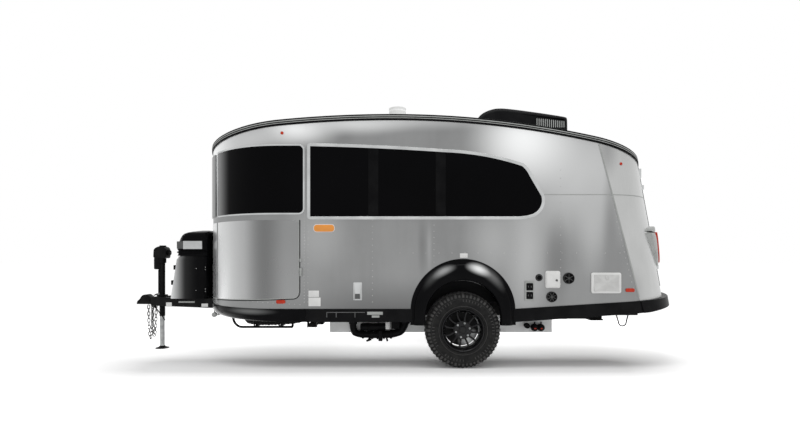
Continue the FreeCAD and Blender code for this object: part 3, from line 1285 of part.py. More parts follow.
def coverHinge():
    radius = s.smallHingeRadius + 2 * s.seatGap
    centre = (-s.lidFront - radius, s.lidLow)
    wall = s.coverWall

    def leafs(name, start, length, isMoving):
        if isMoving:
            return box(name, (-s.lidFront - radius, start, s.lidLow),
                       (-s.lidFront, start + length, s.lidLow + wall * 3))
        return box(name, (-s.lidFront - radius, start, s.coverHigh - wall * 2),
                   (-s.coverFrontTop + wall / 2, start + length, s.coverHigh))

    return hingeLine("coverHinge", radius, s.coverHalfWidth / 2, [-s.coverHalfWidth / 4], "y", centre, leafs)


def wallLids():
    # two lids on the street side: one hinged along its foot and one along its front edge
    radius = s.smallHingeRadius
    face = s.wallHalfWidth + s.movingGap
    lidFace = face + s.lidProud
    rim = s.lidRim
    frames = []
    for name, front, rear, low, high, upright in (
            ("access", s.accessFront, s.accessRear, s.accessLow, s.accessHigh, False),
            ("inlet", s.inletFront, s.inletRear, s.inletLow, s.inletHigh, True)):
        ringOut = box(name + "RingOut", (front - rim, -face - s.movingGap, low - rim),
                      (rear + rim, -s.wallHalfWidth, high + rim))
        grow = s.movingGap
        ringIn = box(name + "RingIn", (front - grow, -face - s.overrun, low - grow),
                     (rear + grow, -s.wallHalfWidth + s.overrun, high + grow))
        ring = cut(name + "Ring", ringOut, [ringIn])
        lid = box(name + "Plate", (front, -lidFace, low), (rear, -face, high))
        pinY = -lidFace
        if upright:
            centre = (front - grow, pinY)
            axis, start, length = "z", low + (high - low) / 4, (high - low) / 2
        else:
            centre = (pinY, low - grow)
            axis, start, length = "x", front + (rear - front) / 4, (rear - front) / 2

        def leafs(label, spot, extent, isMoving):
            if upright:
                if isMoving:
                    return box(label, (front - grow, -lidFace, spot), (front, -face, spot + extent))
                return box(label, (front - rim, -lidFace, spot),
                           (front - grow, -s.wallHalfWidth, spot + extent))
            if isMoving:
                return box(label, (spot, -lidFace, low - grow), (spot + extent, -face, low))
            return box(label, (spot, -lidFace, low - rim), (spot + extent, -s.wallHalfWidth, low - grow))

        fixed, moving = hingeLine(name + "Hinge", radius, length, [start], axis, centre, leafs)
        frames.append(fused(name + "Frame", [ring] + fixed))
        node(name + "_lid", fused(name + "Lid", [lid] + moving))
    return frames


def lamps():
    band = skin(0, float(s.lampProud))
    markerBand = skin(0, float(s.markerProud))
    inner, outer = float(s.tailLampInner), float(s.tailLampOuter)
    low, high = float(s.tailLampLow), float(s.tailLampHigh)
    # shares of the lamp's width outwards and of its height
    outlineShares = [(0.0, 0.30), (0.45, 0.03), (0.70, 0.0), (1.0, 0.24), (1.0, 0.94), (0.90, 1.0),
                     (0.12, 1.0),
                     (0.0, 0.94)]
    pieces = []
    for side in sides.values():
        points = [at(s.rearSeamTop, side * (inner + a * (outer - inner)), low + b * (high - low))
                  for a, b in outlineShares]
        zone = Part.Face(Part.makePolygon(points + points[:1])).extrude(at(farRear, 0, 0))
        pieces += band.common(zone).Solids
        out = at(0, side * float(s.bumperReach), 0)
        for x, z in ((-s.frontMarkerReach, s.frontMarkerHigh), (s.rearMarkerReach, s.rearMarkerHigh)):
            disc = Part.makeCylinder(float(s.markerRadius), float(s.bumperReach), at(x, 0, z), out)
            pieces += markerBand.common(disc).Solids
        for x, z in ((-s.frontMarkerReach, s.frontMarkerLow), (s.rearMarkerLowReach, s.rearMarkerLow)):
            foot = (float(x) - float(s.markerLength) / 2, float(z) - float(s.markerHeight) / 2)
            head = (foot[0] + float(s.markerLength), foot[1] + float(s.markerHeight))
            bar = acrossFace([foot, (head[0], foot[1]), head, (foot[0], head[1])]).extrude(out)
            pieces += markerBand.common(bar).Solids
    node("tail_lamps", feature("tailLamps", Part.makeCompound(pieces)))


def fittings():
    wall = -s.wallHalfWidth
    half = s.badgeWidth / 2
    plate = box("badgePlate", (s.badgeReach - s.badgeLength / 2 + half, wall - s.badgeProud,
                               s.badgeHeight - half),
                (s.badgeReach + s.badgeLength / 2 - half, wall, s.badgeHeight + half))
    ends = [rod("badgeEnd%d" % sign, half, s.badgeProud, (s.badgeReach + (s.badgeLength / 2 - half) * sign,
                wall - s.badgeProud, s.badgeHeight), "y") for sign in (-1, 1)]
    node("badge", fused("badgeSolid", [plate] + ends))
    proud = s.badgeProud
    panel = box("socketPanel", (s.socketFront, wall - proud, s.socketLow), (s.socketRear, wall, s.socketHigh))
    inlets = [rod("roundInlet", s.roundInletRadius, s.lidProud,
                  (s.roundInletReach, wall - s.lidProud, s.roundInletHeight), "y"),
              rod("lowInlet", s.roundInletRadius * 0.9, s.lidProud,
                  (s.lowInletReach, wall - s.lidProud, s.lowInletHeight), "y")]
    hood = box("hoodBlock", (s.hoodFront, wall - s.hoodProud, s.hoodLow), (s.hoodRear, wall, s.hoodHigh))
    node("wall_inlets", grouped("wallInlets", [panel, hood] + inlets + wallLids()))
    radius = s.hoopRadius
    height = s.hoopTop
    reachA, reachB = s.hoopFront + radius, s.hoopRear - radius
    hoop = [rod("hoopLegFront", radius, height - s.hoopLow - radius, (reachA, 0, s.hoopLow + radius), "z"),
            rod("hoopLegRear", radius, height - s.hoopLow - radius, (reachB, 0, s.hoopLow + radius), "z"),
            rod("hoopFoot", radius, reachB - reachA, (reachA, 0, s.hoopLow + radius), "x")]
    hoop.append(box("hoopPlate", (s.railRear, -s.crossWidth, height),
                    (reachB + radius, s.crossWidth, s.frameTop)))
    node("rear_hoop", fused("rearHoop", hoop))


for build in (wallPanels, roofPanels, glazing, surrounds, stoneGuards, skirts, floor, chassis, coupler, jack,
              chains, bottleCover, wheelPair, axle, flares, underbody, spare, underside, entryDoor,
              roofFittings, lamps, fittings):
    build()
doc.recompute()

for item in doc.Objects:
    if "Invalid" in item.State or "Error" in item.State:
        raise RuntimeError("failed object " + item.Label)

os.makedirs("parts", exist_ok=True)
for item in nodes:
    if item.Shape.isNull() or not item.Shape.isValid() or not item.Shape.Solids:
        raise RuntimeError("bad shape " + item.Label)
    item.Shape.exportStep("parts/%s.step" % item.Label)
    limits = item.Shape.BoundBox
    print("%-22s solids %2d volume %9.3f dm3  x %.0f..%.0f y %.0f..%.0f z %.0f..%.0f" % (
        item.Label, len(item.Shape.Solids), item.Shape.Volume / 1e6, limits.XMin, limits.XMax,
        limits.YMin, limits.YMax, limits.ZMin, limits.ZMax))
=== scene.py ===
import json
import math

import bmesh
import bpy
import numpy as np
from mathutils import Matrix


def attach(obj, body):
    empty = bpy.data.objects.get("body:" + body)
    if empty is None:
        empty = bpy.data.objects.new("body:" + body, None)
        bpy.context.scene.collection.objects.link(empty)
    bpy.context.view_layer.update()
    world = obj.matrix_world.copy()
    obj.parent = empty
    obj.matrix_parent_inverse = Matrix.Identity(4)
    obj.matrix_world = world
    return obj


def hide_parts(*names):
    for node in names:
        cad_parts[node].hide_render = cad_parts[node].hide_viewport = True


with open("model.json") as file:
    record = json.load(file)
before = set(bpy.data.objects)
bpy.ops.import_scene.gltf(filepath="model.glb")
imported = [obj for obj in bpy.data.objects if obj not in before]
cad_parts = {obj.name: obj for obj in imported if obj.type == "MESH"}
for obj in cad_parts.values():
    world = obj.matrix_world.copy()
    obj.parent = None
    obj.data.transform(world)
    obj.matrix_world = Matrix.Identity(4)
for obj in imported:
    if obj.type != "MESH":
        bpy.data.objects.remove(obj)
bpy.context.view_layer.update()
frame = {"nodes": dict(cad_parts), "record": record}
print("frame loaded with", len(frame["nodes"]), "nodes")

# Travel caravan on one axle: metres, X along the length with the coupler at -X, Z up,
# and the photographed side at -Y.


# Camera and stage

view = {"across": 0.082, "back": 5.6, "height": 1.098, "focalPixels": 466.5, "horizonRow": 256.4,
        "photoWidth": 800, "photoHeight": 442, "sensor": 36.0}

cameraData = bpy.data.cameras.new("photoCamera")
cameraData.sensor_width = view["sensor"]
cameraData.lens = view["focalPixels"] / view["photoWidth"] * view["sensor"]
cameraData.shift_y = (view["horizonRow"] - view["photoHeight"] / 2) / view["photoWidth"]
cameraData.clip_end = 200
camera = bpy.data.objects.new("photoCamera", cameraData)
camera.location = (view["across"], -view["back"], view["height"])
camera.rotation_euler = (math.radians(90), 0, 0)
bpy.context.scene.collection.objects.link(camera)
bpy.context.scene.camera = camera
bpy.context.scene.view_settings.view_transform = "Standard"
print("camera placed")


# Shared effects as node groups

def setInput(tree, socket, value):
    # a link from another socket, or a value of its own
    if isinstance(value, bpy.types.NodeSocket):
        tree.links.new(value, socket)
    else:
        socket.default_value = value


def addNode(tree, kind, inputs, **settings):
    # a node with its settings made and its inputs linked or set
    node = tree.nodes.new("ShaderNode" + kind)
    for key, value in settings.items():
        setattr(node, key, value)
    for key, value in inputs.items():
        setInput(tree, node.inputs[key], value)
    return node


def mathNode(tree, operation, first, second=0.0):
    return addNode(tree, "Math", {0: first, 1: second}, operation=operation).outputs[0]


def vectorNode(tree, operation, first, second):
    return addNode(tree, "VectorMath", {0: first, 1: second}, operation=operation).outputs[0]


def rangeNode(tree, value, limits, **settings):
    return addNode(tree, "MapRange", {"Value": value, **limits}, **settings).outputs[0]


def noiseNode(tree, vector, scale, detail=4.0, roughness=0.55):
    inputs = {"Vector": vector, "Scale": scale, "Detail": detail, "Roughness": roughness}
    return addNode(tree, "TexNoise", inputs).outputs["Fac"]


def mottleNodes(tree, given):
    # soft colour variation and a fine height, both from noise in the piece's own place
    return {"Patches": noiseNode(tree, given["Vector"], given["Scale"]),
            "Height": noiseNode(tree, given["Vector"], given["Fine"], 2.0)}


def brushingNodes(tree, given):
    # long fine scratches: noise squeezed along one direction
    mapping = addNode(tree, "Mapping", {"Vector": given["Vector"], "Scale": given["Stretch"]})
    return {"Lines": noiseNode(tree, mapping.outputs[0], 8.0, 3.0, 0.7)}


def bandsNodes(tree, given):
    # soft upright bands at random places: noise drawn out along the height
    stretch = addNode(tree, "CombineXYZ", {0: 1.0, 1: 1.0, 2: given["Drawn"]})
    mapping = addNode(tree, "Mapping", {"Vector": given["Vector"], "Scale": stretch.outputs[0]})
    wide, narrow = (mathNode(tree, "MULTIPLY", noiseNode(tree, mapping.outputs[0], scale, 2.0, 0.5), share)
                    for scale, share in ((3.2, 0.75), (26.0, 0.25)))
    return {"Bands": mathNode(tree, "ADD", wide, narrow)}


def polarNodes(tree, given):
    # places as (angle from upright, Y, radius) about a centre, for patches that follow an arch
    off = vectorNode(tree, "SUBTRACT", given["Vector"], given["Centre"])
    x, y, z = addNode(tree, "SeparateXYZ", {0: off}).outputs
    squares = mathNode(tree, "ADD", mathNode(tree, "MULTIPLY", x, x), mathNode(tree, "MULTIPLY", z, z))
    turned = {0: mathNode(tree, "ARCTAN2", x, z), 1: y, 2: mathNode(tree, "SQRT", squares)}
    return {"Vector": addNode(tree, "CombineXYZ", turned).outputs[0]}


def glintNodes(tree, given):
    # a soft oval mask for painted highlights and reflections, and for the floor's painted light and shadow:
    # one less the distance from the centre, each way by its reach
    scaled = vectorNode(tree, "DIVIDE", vectorNode(tree, "SUBTRACT", given["Vector"], given["Centre"]), given["Reach"])
    length = addNode(tree, "VectorMath", {0: scaled}, operation="LENGTH").outputs["Value"]
    near = rangeNode(tree, mathNode(tree, "SUBTRACT", 1.0, length), {}, interpolation_type="SMOOTHSTEP")
    return {"Mask": mathNode(tree, "MULTIPLY", near, given["Share"])}


def grimeNodes(tree, given):
    # road dust: strongest near the ground, broken up by noise
    height = addNode(tree, "SeparateXYZ", {0: given["Vector"]}).outputs["Z"]
    near = mathNode(tree, "SUBTRACT", 1.0, mathNode(tree, "DIVIDE", height, given["Top"]))
    near = mathNode(tree, "MAXIMUM", near, 0.0)
    broken = mathNode(tree, "MULTIPLY", near, noiseNode(tree, given["Vector"], 9.0, 6.0, 0.65))
    return {"Mask": mathNode(tree, "MULTIPLY", broken, given["Amount"])}


def newGroup(name, defaults, outputs, build):
    # a shader node group that takes a place and the named values, and gives what build makes of them
    group = bpy.data.node_groups.new(name, "ShaderNodeTree")
    for label, default in {"Vector": (0, 0, 0), **defaults}.items():
        kind = "NodeSocketVector" if isinstance(default, tuple) else "NodeSocketFloat"
        group.interface.new_socket(name=label, in_out="INPUT", socket_type=kind).default_value = default
    for label in outputs:
        kind = "NodeSocketVector" if label == "Vector" else "NodeSocketFloat"
        group.interface.new_socket(name=label, in_out="OUTPUT", socket_type=kind)
    start, end = group.nodes.new("NodeGroupInput"), group.nodes.new("NodeGroupOutput")
    for label, source in build(group, start.outputs).items():
        group.links.new(source, end.inputs[label])
    return group


groups = {
    "mottle": newGroup("mottle", {"Scale": 6.0, "Fine": 300.0}, ("Patches", "Height"), mottleNodes),
    "brushing": newGroup("brushing", {"Stretch": (60.0, 60.0, 1.0)}, ("Lines",), brushingNodes),
    "bands": newGroup("bands", {"Drawn": 0.12}, ("Bands",), bandsNodes),
    "polar": newGroup("polar", {"Centre": (0, 0, 0)}, ("Vector",), polarNodes),
    "glint": newGroup("glint", {"Centre": (0, 0, 0), "Reach": (1, 1, 1), "Share": 1.0}, ("Mask",), glintNodes),
    "grime": newGroup("grime", {"Top": 0.7, "Amount": 0.3}, ("Mask",), grimeNodes),
}


def groupNode(tree, name, place, **values):
    # the outputs of a shared group at a place
    return addNode(tree, "Group", {"Vector": place, **values}, node_tree=groups[name]).outputs


# Finishes: one row of values for each, over the common ones, keyed by the record's slot. Painted reflections are soft
# patches of sky or lamp painted pale into the colour, or darker painted bands: (centre, reach, tone, share), with a
# long reach in Y to take in both sides.

commonFinish = {"metal": 0.0, "patchScale": 9.0, "fine": 300.0, "bump": 0.01, "specular": 0.5, "coat": 0.0}
finishes = {
    "aluminium_skin": {
        "colour": (0.228, 0.231, 0.231), "patchColour": (0.262, 0.265, 0.265), "metal": 0.88, "rough": 0.36,
        "patchScale": 1.5, "fine": 45.0, "bump": 0.006, "bands": (0.36, 0.25),
        # painted reflections and shade: a darker band along the foot of the walls, pale patches under the roof's edge,
        # over the upper nose and rear and lower down the wall, and narrow darker and paler upright strips
        "paintedReflections": (
            ((0.0, 0, 0.50), (1.6, 9, 0.46), 0.13, 1.0), ((0.0, 0, 2.47), (1.7, 9, 0.17), 0.56, 1.0),
            ((1.85, 0, 1.95), (1.15, 9, 0.95), 0.56, 1.0), ((1.30, 0, 2.26), (0.66, 9, 0.62), 0.92, 1.0),
            ((1.33, 0, 1.15), (0.30, 9, 0.90), 0.46, 0.9), ((1.97, 0, 1.42), (0.22, 9, 0.75), 0.48, 0.75),
            ((1.63, 0, 1.00), (0.17, 9, 0.60), 0.20, 0.9), ((2.16, 0, 1.30), (0.12, 9, 1.00), 0.25, 0.9),
            ((-0.95, 0, 2.36), (0.55, 9, 0.24), 0.86, 1.0), ((-0.72, 0, 1.30), (0.45, 9, 0.50), 0.36, 1.0),
            ((-2.04, 0, 2.25), (0.90, 9, 0.66), 0.95, 1.0), ((-1.40, 0, 2.27), (0.50, 9, 0.20), 0.56, 0.9),
            ((0.30, 0, 1.20), (0.06, 9, 0.40), 0.18, 0.7), ((0.37, 0, 1.18), (0.035, 9, 0.35), 0.36, 0.55),
            ((1.00, 0, 1.25), (0.36, 9, 0.50), 0.40, 0.9), ((-0.35, 0, 2.42), (0.70, 9, 0.17), 0.66, 1.0))},
    # painted light: the rear's aluminium is given about twice the side walls' tone for the light falling on it
    "lit_rear_skin": {
        "colour": (0.46, 0.465, 0.46), "patchColour": (0.52, 0.525, 0.52), "metal": 0.88, "rough": 0.34,
        "patchScale": 1.1, "fine": 45.0, "bump": 0.006, "bands": (0.35, 0.2),
        # a pale painted highlight over the rear's wrap, and two darker painted patches near its corners, low and high
        "paintedReflections": (
            ((2.84, 0, 1.60), (0.66, 1.4, 1.3), 0.96, 1.0), ((2.25, 0, 0.72), (0.36, 9, 0.42), 0.27, 0.9),
            ((2.12, 0, 2.15), (0.16, 9, 0.35), 0.30, 0.8))},
    "guard_steel": {
        "colour": (0.265, 0.268, 0.268), "patchColour": (0.29, 0.293, 0.293), "metal": 0.92, "rough": 0.27,
        "patchScale": 0.9, "fine": 60.0, "bump": 0.003, "bands": (0.50, 0.2),
        # painted reflection: the guard is paler towards the nose and has a darker upright band further back
        "paintedReflections": (
            ((-2.02, 0, 1.0), (0.85, 9, 9), 0.72, 1.0), ((-1.25, 0, 1.0), (0.24, 9, 9), 0.17, 1.0))},
    "rivet_steel": {
        "colour": (0.50, 0.50, 0.49), "patchColour": (0.36, 0.36, 0.35), "metal": 0.7, "rough": 0.3,
        "patchScale": 5.0, "fine": 200.0, "bump": 0.0},
    "roof_skin": {
        "colour": (0.50, 0.51, 0.51), "patchColour": (0.42, 0.43, 0.43), "metal": 0.55, "rough": 0.45,
        "patchScale": 1.2, "fine": 80.0},
    "polished_trim": {
        "colour": (0.58, 0.59, 0.59), "patchColour": (0.46, 0.47, 0.47), "metal": 0.95, "rough": 0.24,
        "patchScale": 5.0, "fine": 200.0, "bump": 0.004},
    "dark_trim": {
        "colour": (0.004, 0.004, 0.0045), "patchColour": (0.007, 0.007, 0.0075), "rough": 0.38, "patchScale": 8.0,
        "fine": 500.0, "bump": 0.02, "specular": 0.03},
    "window_glass": {
        "colour": (0.0015, 0.0015, 0.0018), "patchColour": (0.002, 0.002, 0.0025), "rough": 0.05, "patchScale": 1.0,
        "fine": 20.0, "bump": 0.0, "specular": 0.03,
        # painted reflection: pale patches on the glass round both corners of the nose
        "paintedReflections": (
            ((-1.88, -0.60, 1.85), (0.26, 0.45, 9), 0.30, 1.0), ((-1.88, 0.60, 1.85), (0.26, 0.45, 9), 0.30, 1.0))},
    "black_steel": {
        "colour": (0.006, 0.006, 0.0065), "patchColour": (0.012, 0.012, 0.012), "rough": 0.40, "patchScale": 12.0,
        "fine": 350.0, "bump": 0.02, "dust": 0.02, "specular": 0.05},
    "zinc_steel": {
        "colour": (0.42, 0.43, 0.43), "patchColour": (0.28, 0.29, 0.29), "metal": 0.85, "rough": 0.36,
        "patchScale": 25.0, "bump": 0.02, "dust": 0.1},
    "dark_zinc": {
        "colour": (0.09, 0.092, 0.09), "patchColour": (0.05, 0.05, 0.05), "metal": 0.75, "rough": 0.38,
        "patchScale": 40.0, "bump": 0.02, "dust": 0.1},
    "tyre_rubber": {
        "colour": (0.012, 0.012, 0.0125), "patchColour": (0.022, 0.022, 0.0215), "rough": 0.62, "patchScale": 18.0,
        "fine": 700.0, "bump": 0.05, "dust": 0.02, "specular": 0.06},
    "lug_rubber": {
        "colour": (0.030, 0.030, 0.030), "patchColour": (0.048, 0.047, 0.046), "rough": 0.5, "patchScale": 14.0,
        "fine": 500.0, "bump": 0.04, "dust": 0.08, "specular": 0.3},
    "drum_black": {
        "colour": (0.008, 0.008, 0.008), "patchColour": (0.014, 0.014, 0.014), "metal": 0.3, "rough": 0.35,
        "patchScale": 20.0, "fine": 500.0, "specular": 0.05,
        # painted highlight: a pale patch low towards the rear of the drum stands in for the bright barrel seen between
        # the spokes, with a smaller one beside it; both turn with the wheel
        "paintedReflections": (
            ((0.765, 0, 0.250), (0.115, 9, 0.085), 0.85, 1.0), ((0.82, 0, 0.32), (0.05, 9, 0.06), 0.5, 1.0))},
    "dark_rim": {
        "colour": (0.006, 0.006, 0.0065), "patchColour": (0.010, 0.010, 0.011), "metal": 0.2, "rough": 0.24,
        "patchScale": 20.0, "fine": 500.0, "specular": 0.25, "coat": 0.04},
    "black_plastic": {
        "colour": (0.005, 0.005, 0.0055), "patchColour": (0.009, 0.009, 0.0095), "rough": 0.33, "patchScale": 6.0,
        "fine": 600.0, "bump": 0.03, "specular": 0.04},
    "gloss_black": {
        "colour": (0.0025, 0.0025, 0.003), "patchColour": (0.004, 0.004, 0.0045), "rough": 0.16, "patchScale": 4.0,
        "fine": 400.0, "specular": 0.04,
        # painted highlights: a pale band along the front skirt's lower round with a faint one under it, and a small one
        # at the lid's front edge
        "paintedReflections": (
            ((-1.42, 0, 0.553), (0.34, 9, 0.045), 0.17, 1.0), ((-1.70, 0, 0.500), (0.30, 9, 0.035), 0.05, 1.0),
            ((-2.43, 0, 1.30), (0.07, 9, 0.12), 0.20, 1.0)),
        # painted highlights along the bulge of both flares, placed by angle and radius about the arch's centre
        "archCentre": (0.70, 0, 0.576),
        "archGlints": (
            ((0.62, 0, 0.430), (0.62, 9, 0.070), 0.16, 1.0), ((0.36, 0, 0.425), (0.36, 9, 0.068), 0.85, 1.0),
            ((-0.66, 0, 0.430), (0.52, 9, 0.060), 0.07, 1.0), ((-0.47, 0, 0.425), (0.36, 9, 0.055), 0.34, 1.0))},
    "grey_plastic": {
        "colour": (0.085, 0.087, 0.087), "patchColour": (0.065, 0.067, 0.067), "rough": 0.4, "fine": 500.0,
        "bump": 0.02},
    "lamp_grey": {
        "colour": (0.36, 0.37, 0.36), "patchColour": (0.30, 0.31, 0.30), "metal": 0.2, "rough": 0.36, "fine": 500.0},
    "white_steel": {
        "colour": (0.90, 0.91, 0.91), "patchColour": (0.82, 0.83, 0.83), "rough": 0.42, "patchScale": 7.0,
        "dust": 0.05},
    "pale_steel": {
        "colour": (0.60, 0.61, 0.61), "patchColour": (0.50, 0.51, 0.51), "metal": 0.25, "rough": 0.42,
        "patchScale": 7.0, "dust": 0.1},
    "cap_white": {"colour": (0.94, 0.94, 0.94), "patchColour": (0.90, 0.90, 0.90), "rough": 0.40, "fine": 400.0},
    "hatch_white": {"colour": (0.60, 0.60, 0.59), "patchColour": (0.53, 0.53, 0.52), "rough": 0.45, "fine": 400.0},
    "white_plastic": {"colour": (0.76, 0.76, 0.75), "patchColour": (0.70, 0.70, 0.69), "rough": 0.40, "fine": 400.0},
    "orange_plate": {
        "colour": (0.82, 0.31, 0.045), "patchColour": (0.76, 0.28, 0.04), "rough": 0.30, "patchScale": 20.0,
        "bump": 0.008},
    "lamp_red": {
        "colour": (0.56, 0.045, 0.018), "patchColour": (0.42, 0.028, 0.012), "rough": 0.2, "patchScale": 40.0,
        "specular": 0.15, "coat": 0.05},
    "floor_board": {
        "colour": (0.16, 0.14, 0.12), "patchColour": (0.11, 0.095, 0.08), "rough": 0.6, "patchScale": 5.0,
        "fine": 120.0, "bump": 0.02, "lines": (1.5, 60.0, 60.0), "lineShare": 0.3},
    "step_aluminium": {
        "colour": (0.42, 0.43, 0.44), "patchColour": (0.32, 0.33, 0.34), "metal": 0.9, "rough": 0.38, "fine": 250.0,
        "bump": 0.02, "lines": (1.0, 90.0, 90.0), "lineShare": 0.2},
}
# the cover's base: the gloss black with painted highlights down both front corners in place of its own
finishes["highlit_cover_black"] = {key: value for key, value in finishes["gloss_black"].items() if key != "archCentre"}
finishes["highlit_cover_black"]["paintedReflections"] = tuple(((-2.56, side * 0.33, 0), (reach, 0.14, 9), tone, 1.0)
                                          for side in (-1, 1) for reach, tone in ((0.38, 0.08), (0.235, 1.0)))
shading = {"patchLimits": {"From Min": 0.35, "From Max": 0.65}, "bandReach": 0.3, "bandTone": 1.25, "roughSpread": 0.12,
           "dustColour": (0.20, 0.18, 0.155), "bumpStrength": 0.4, "bumpDistance": 0.02}


def mixColour(tree, factor, first, second):
    ends = [(*value, 1.0) if isinstance(value, tuple) else value for value in (first, second)]
    return addNode(tree, "Mix", {"Factor": factor, 6: ends[0], 7: ends[1]}, data_type="RGBA").outputs[2]


def newMaterial(name):
    material = bpy.data.materials.new(name)
    material.use_nodes = True
    tree = material.node_tree
    return material, tree, tree.nodes["Principled BSDF"].inputs, tree.nodes.new("ShaderNodeTexCoord").outputs["Object"]


def buildFinish(name, values):
    values = {**commonFinish, **values}
    material, tree, shader, place = newMaterial(name)
    mottled = groupNode(tree, "mottle", place, Scale=values["patchScale"], Fine=values["fine"])
    roughFrom = mottled["Patches"]
    spread = rangeNode(tree, roughFrom, shading["patchLimits"])
    colour = mixColour(tree, spread, values["colour"], values["patchColour"])
    if "lines" in values:
        roughFrom = groupNode(tree, "brushing", place, Stretch=values["lines"])["Lines"]
        share = mathNode(tree, "MULTIPLY", roughFrom, values["lineShare"])
        colour = mixColour(tree, share, colour, values["patchColour"])
    if "bands" in values:
        low, high = values["bands"]
        limits = {"From Min": low, "From Max": low + shading["bandReach"], "To Max": high}
        share = rangeNode(tree, groupNode(tree, "bands", place)["Bands"], limits)
        colour = mixColour(tree, share, colour, tuple(shading["bandTone"] * c for c in values["patchColour"]))
    # painted highlights and shade: each soft patch mixes its tone into the colour by place
    patches = [(place, patch) for patch in values.get("paintedReflections", ())]
    if "archCentre" in values:
        turned = groupNode(tree, "polar", place, Centre=values["archCentre"])["Vector"]
        patches += [(turned, patch) for patch in values["archGlints"]]
    for where, (centre, reach, tone, share) in patches:
        mask = groupNode(tree, "glint", where, Centre=centre, Reach=reach, Share=share)["Mask"]
        colour = mixColour(tree, mask, colour, (tone, tone * 1.01, tone * 1.01))
    if "dust" in values:
        mask = groupNode(tree, "grime", place, Amount=values["dust"])["Mask"]
        colour = mixColour(tree, mask, colour, shading["dustColour"])
    swing = shading["roughSpread"]
    roughEnds = {"To Min": values["rough"] * (1 - swing), "To Max": values["rough"] * (1 + swing)}
    inputs = {"Base Color": colour, "Roughness": rangeNode(tree, roughFrom, roughEnds), "Metallic": values["metal"],
              "Specular IOR Level": values["specular"], "Coat Weight": values["coat"]}
    if values["bump"] > 0:
        bump = {"Strength": shading["bumpStrength"], "Distance": values["bump"] * shading["bumpDistance"],
                "Height": mottled["Height"]}
        inputs["Normal"] = addNode(tree, "Bump", bump).outputs[0]
    for key, value in inputs.items():
        setInput(tree, shader[key], value)
    return material


materials = {name: buildFinish(name, values) for name, values in finishes.items()}
print("finishes built:", len(materials))


# Which body each CAD node belongs to

bodyOf = {node: body for body, members in frame["record"]["behaviour"]["bodies"].items() for node in members}


# Mesh helpers: every part is a pair of arrays, its points and its faces

def joined(parts):
    # one part from many, with each one's faces counted on from the last
    points, faces, count = [], [], 0
    for partPoints, partFaces in parts:
        points.append(np.asarray(partPoints, float))
        faces += [tuple(int(i) + count for i in face) for face in partFaces]
        count += len(partPoints)
    return np.concatenate(points), faces


def mirrored(part):
    # the same part on the other side of the caravan, with its faces turned back out
    points, faces = part
    return np.asarray(points) * (1, -1, 1), [tuple(face)[::-1] for face in faces]


def unturned(part):
    return part


def gridFaces(rows, columns, wrapRows=False, wrapColumns=False):
    # quads between neighbouring rows and columns of a grid of points
    rowIndex = np.arange(rows if wrapRows else rows - 1)
    columnIndex = np.arange(columns if wrapColumns else columns - 1)
    r, c = np.meshgrid(rowIndex, columnIndex, indexing="ij")
    nextR, nextC = (r + 1) % rows, (c + 1) % columns
    quads = np.stack([r * columns + c, r * columns + nextC, nextR * columns + nextC, nextR * columns + c], -1)
    return [tuple(quad) for quad in quads.reshape(-1, 4)]


def gridPart(points, wrapRows=False):
    # a closed part from rings of points, which are joined end to end or closed with two flat ends
    points = np.asarray(points)
    rows, columns = points.shape[:2]
    faces = gridFaces(rows, columns, wrapRows, True)
    if not wrapRows:
        faces.append(tuple(range(columns))[::-1])
        faces.append(tuple((rows - 1) * columns + i for i in range(columns)))
    return points.reshape(-1, 3), faces


def aroundTurn(steps):
    return np.linspace(0, 2 * np.pi, steps, endpoint=False)


def turnedPart(profile, centre, steps=96, axis="y"):
    # a closed outline of (along the axis, radius) carried round an axis along Y or Z
    profile = np.asarray(profile, float)
    turns = aroundTurn(steps)
    along = np.broadcast_to(profile[:, 0], (steps, len(profile)))
    first, second = (wave[:, None] * profile[:, 1] for wave in (np.cos(turns), np.sin(turns)))
    order = (first, along, second) if axis == "y" else (first, second, along)
    return gridPart(np.stack(order, -1) + np.asarray(centre, float), wrapRows=True)


def carriedPart(profile, path, up, closed=False):
    # a closed outline of (sideways, upwards) carried along a path: sideways is travel crossed with up
    path = np.asarray(path, float)
    travel = np.roll(path, -1, 0) - np.roll(path, 1, 0) if closed else np.gradient(path, axis=0)
    travel = travel / np.linalg.norm(travel, axis=1, keepdims=True)
    side = np.cross(travel, np.broadcast_to(np.asarray(up, float), path.shape))
    side = side / np.linalg.norm(side, axis=1, keepdims=True)
    rise = np.cross(side, travel)
    profile = np.asarray(profile, float)
    points = path[:, None] + side[:, None] * profile[None, :, :1] + rise[:, None] * profile[None, :, 1:]
    return gridPart(points, wrapRows=closed)


def circle(radius, sides):
    turns = aroundTurn(sides)
    return np.stack([radius * np.cos(turns), radius * np.sin(turns)], 1)


def tubePart(path, radius, sides=12, up=(0, 1, 0), closed=False):
    return carriedPart(circle(radius, sides), path, up, closed)


def rodPart(start, end, radius, sides=24, bevel=0.0):
    # a round bar between two points, with its rims eased
    start, end = np.asarray(start, float), np.asarray(end, float)
    length = np.linalg.norm(end - start)
    travel = (end - start) / length
    side = np.cross(travel, (1.0, 0, 0) if abs(travel[0]) < 0.7 else (0, 0, 1.0))
    side /= np.linalg.norm(side)
    rise = np.cross(side, travel)
    ease = bevel or radius * 0.12
    ring = circle(1.0, sides) @ np.array([side, rise])
    return gridPart([start + travel * along + r * ring for along, r in
                     ((0, radius - ease), (ease, radius), (length - ease, radius), (length, radius - ease))])


def fromBmesh(work):
    points = np.array([vert.co[:] for vert in work.verts])
    work.verts.index_update()
    faces = [tuple(vert.index for vert in face.verts) for face in work.faces]
    work.free()
    return points, faces


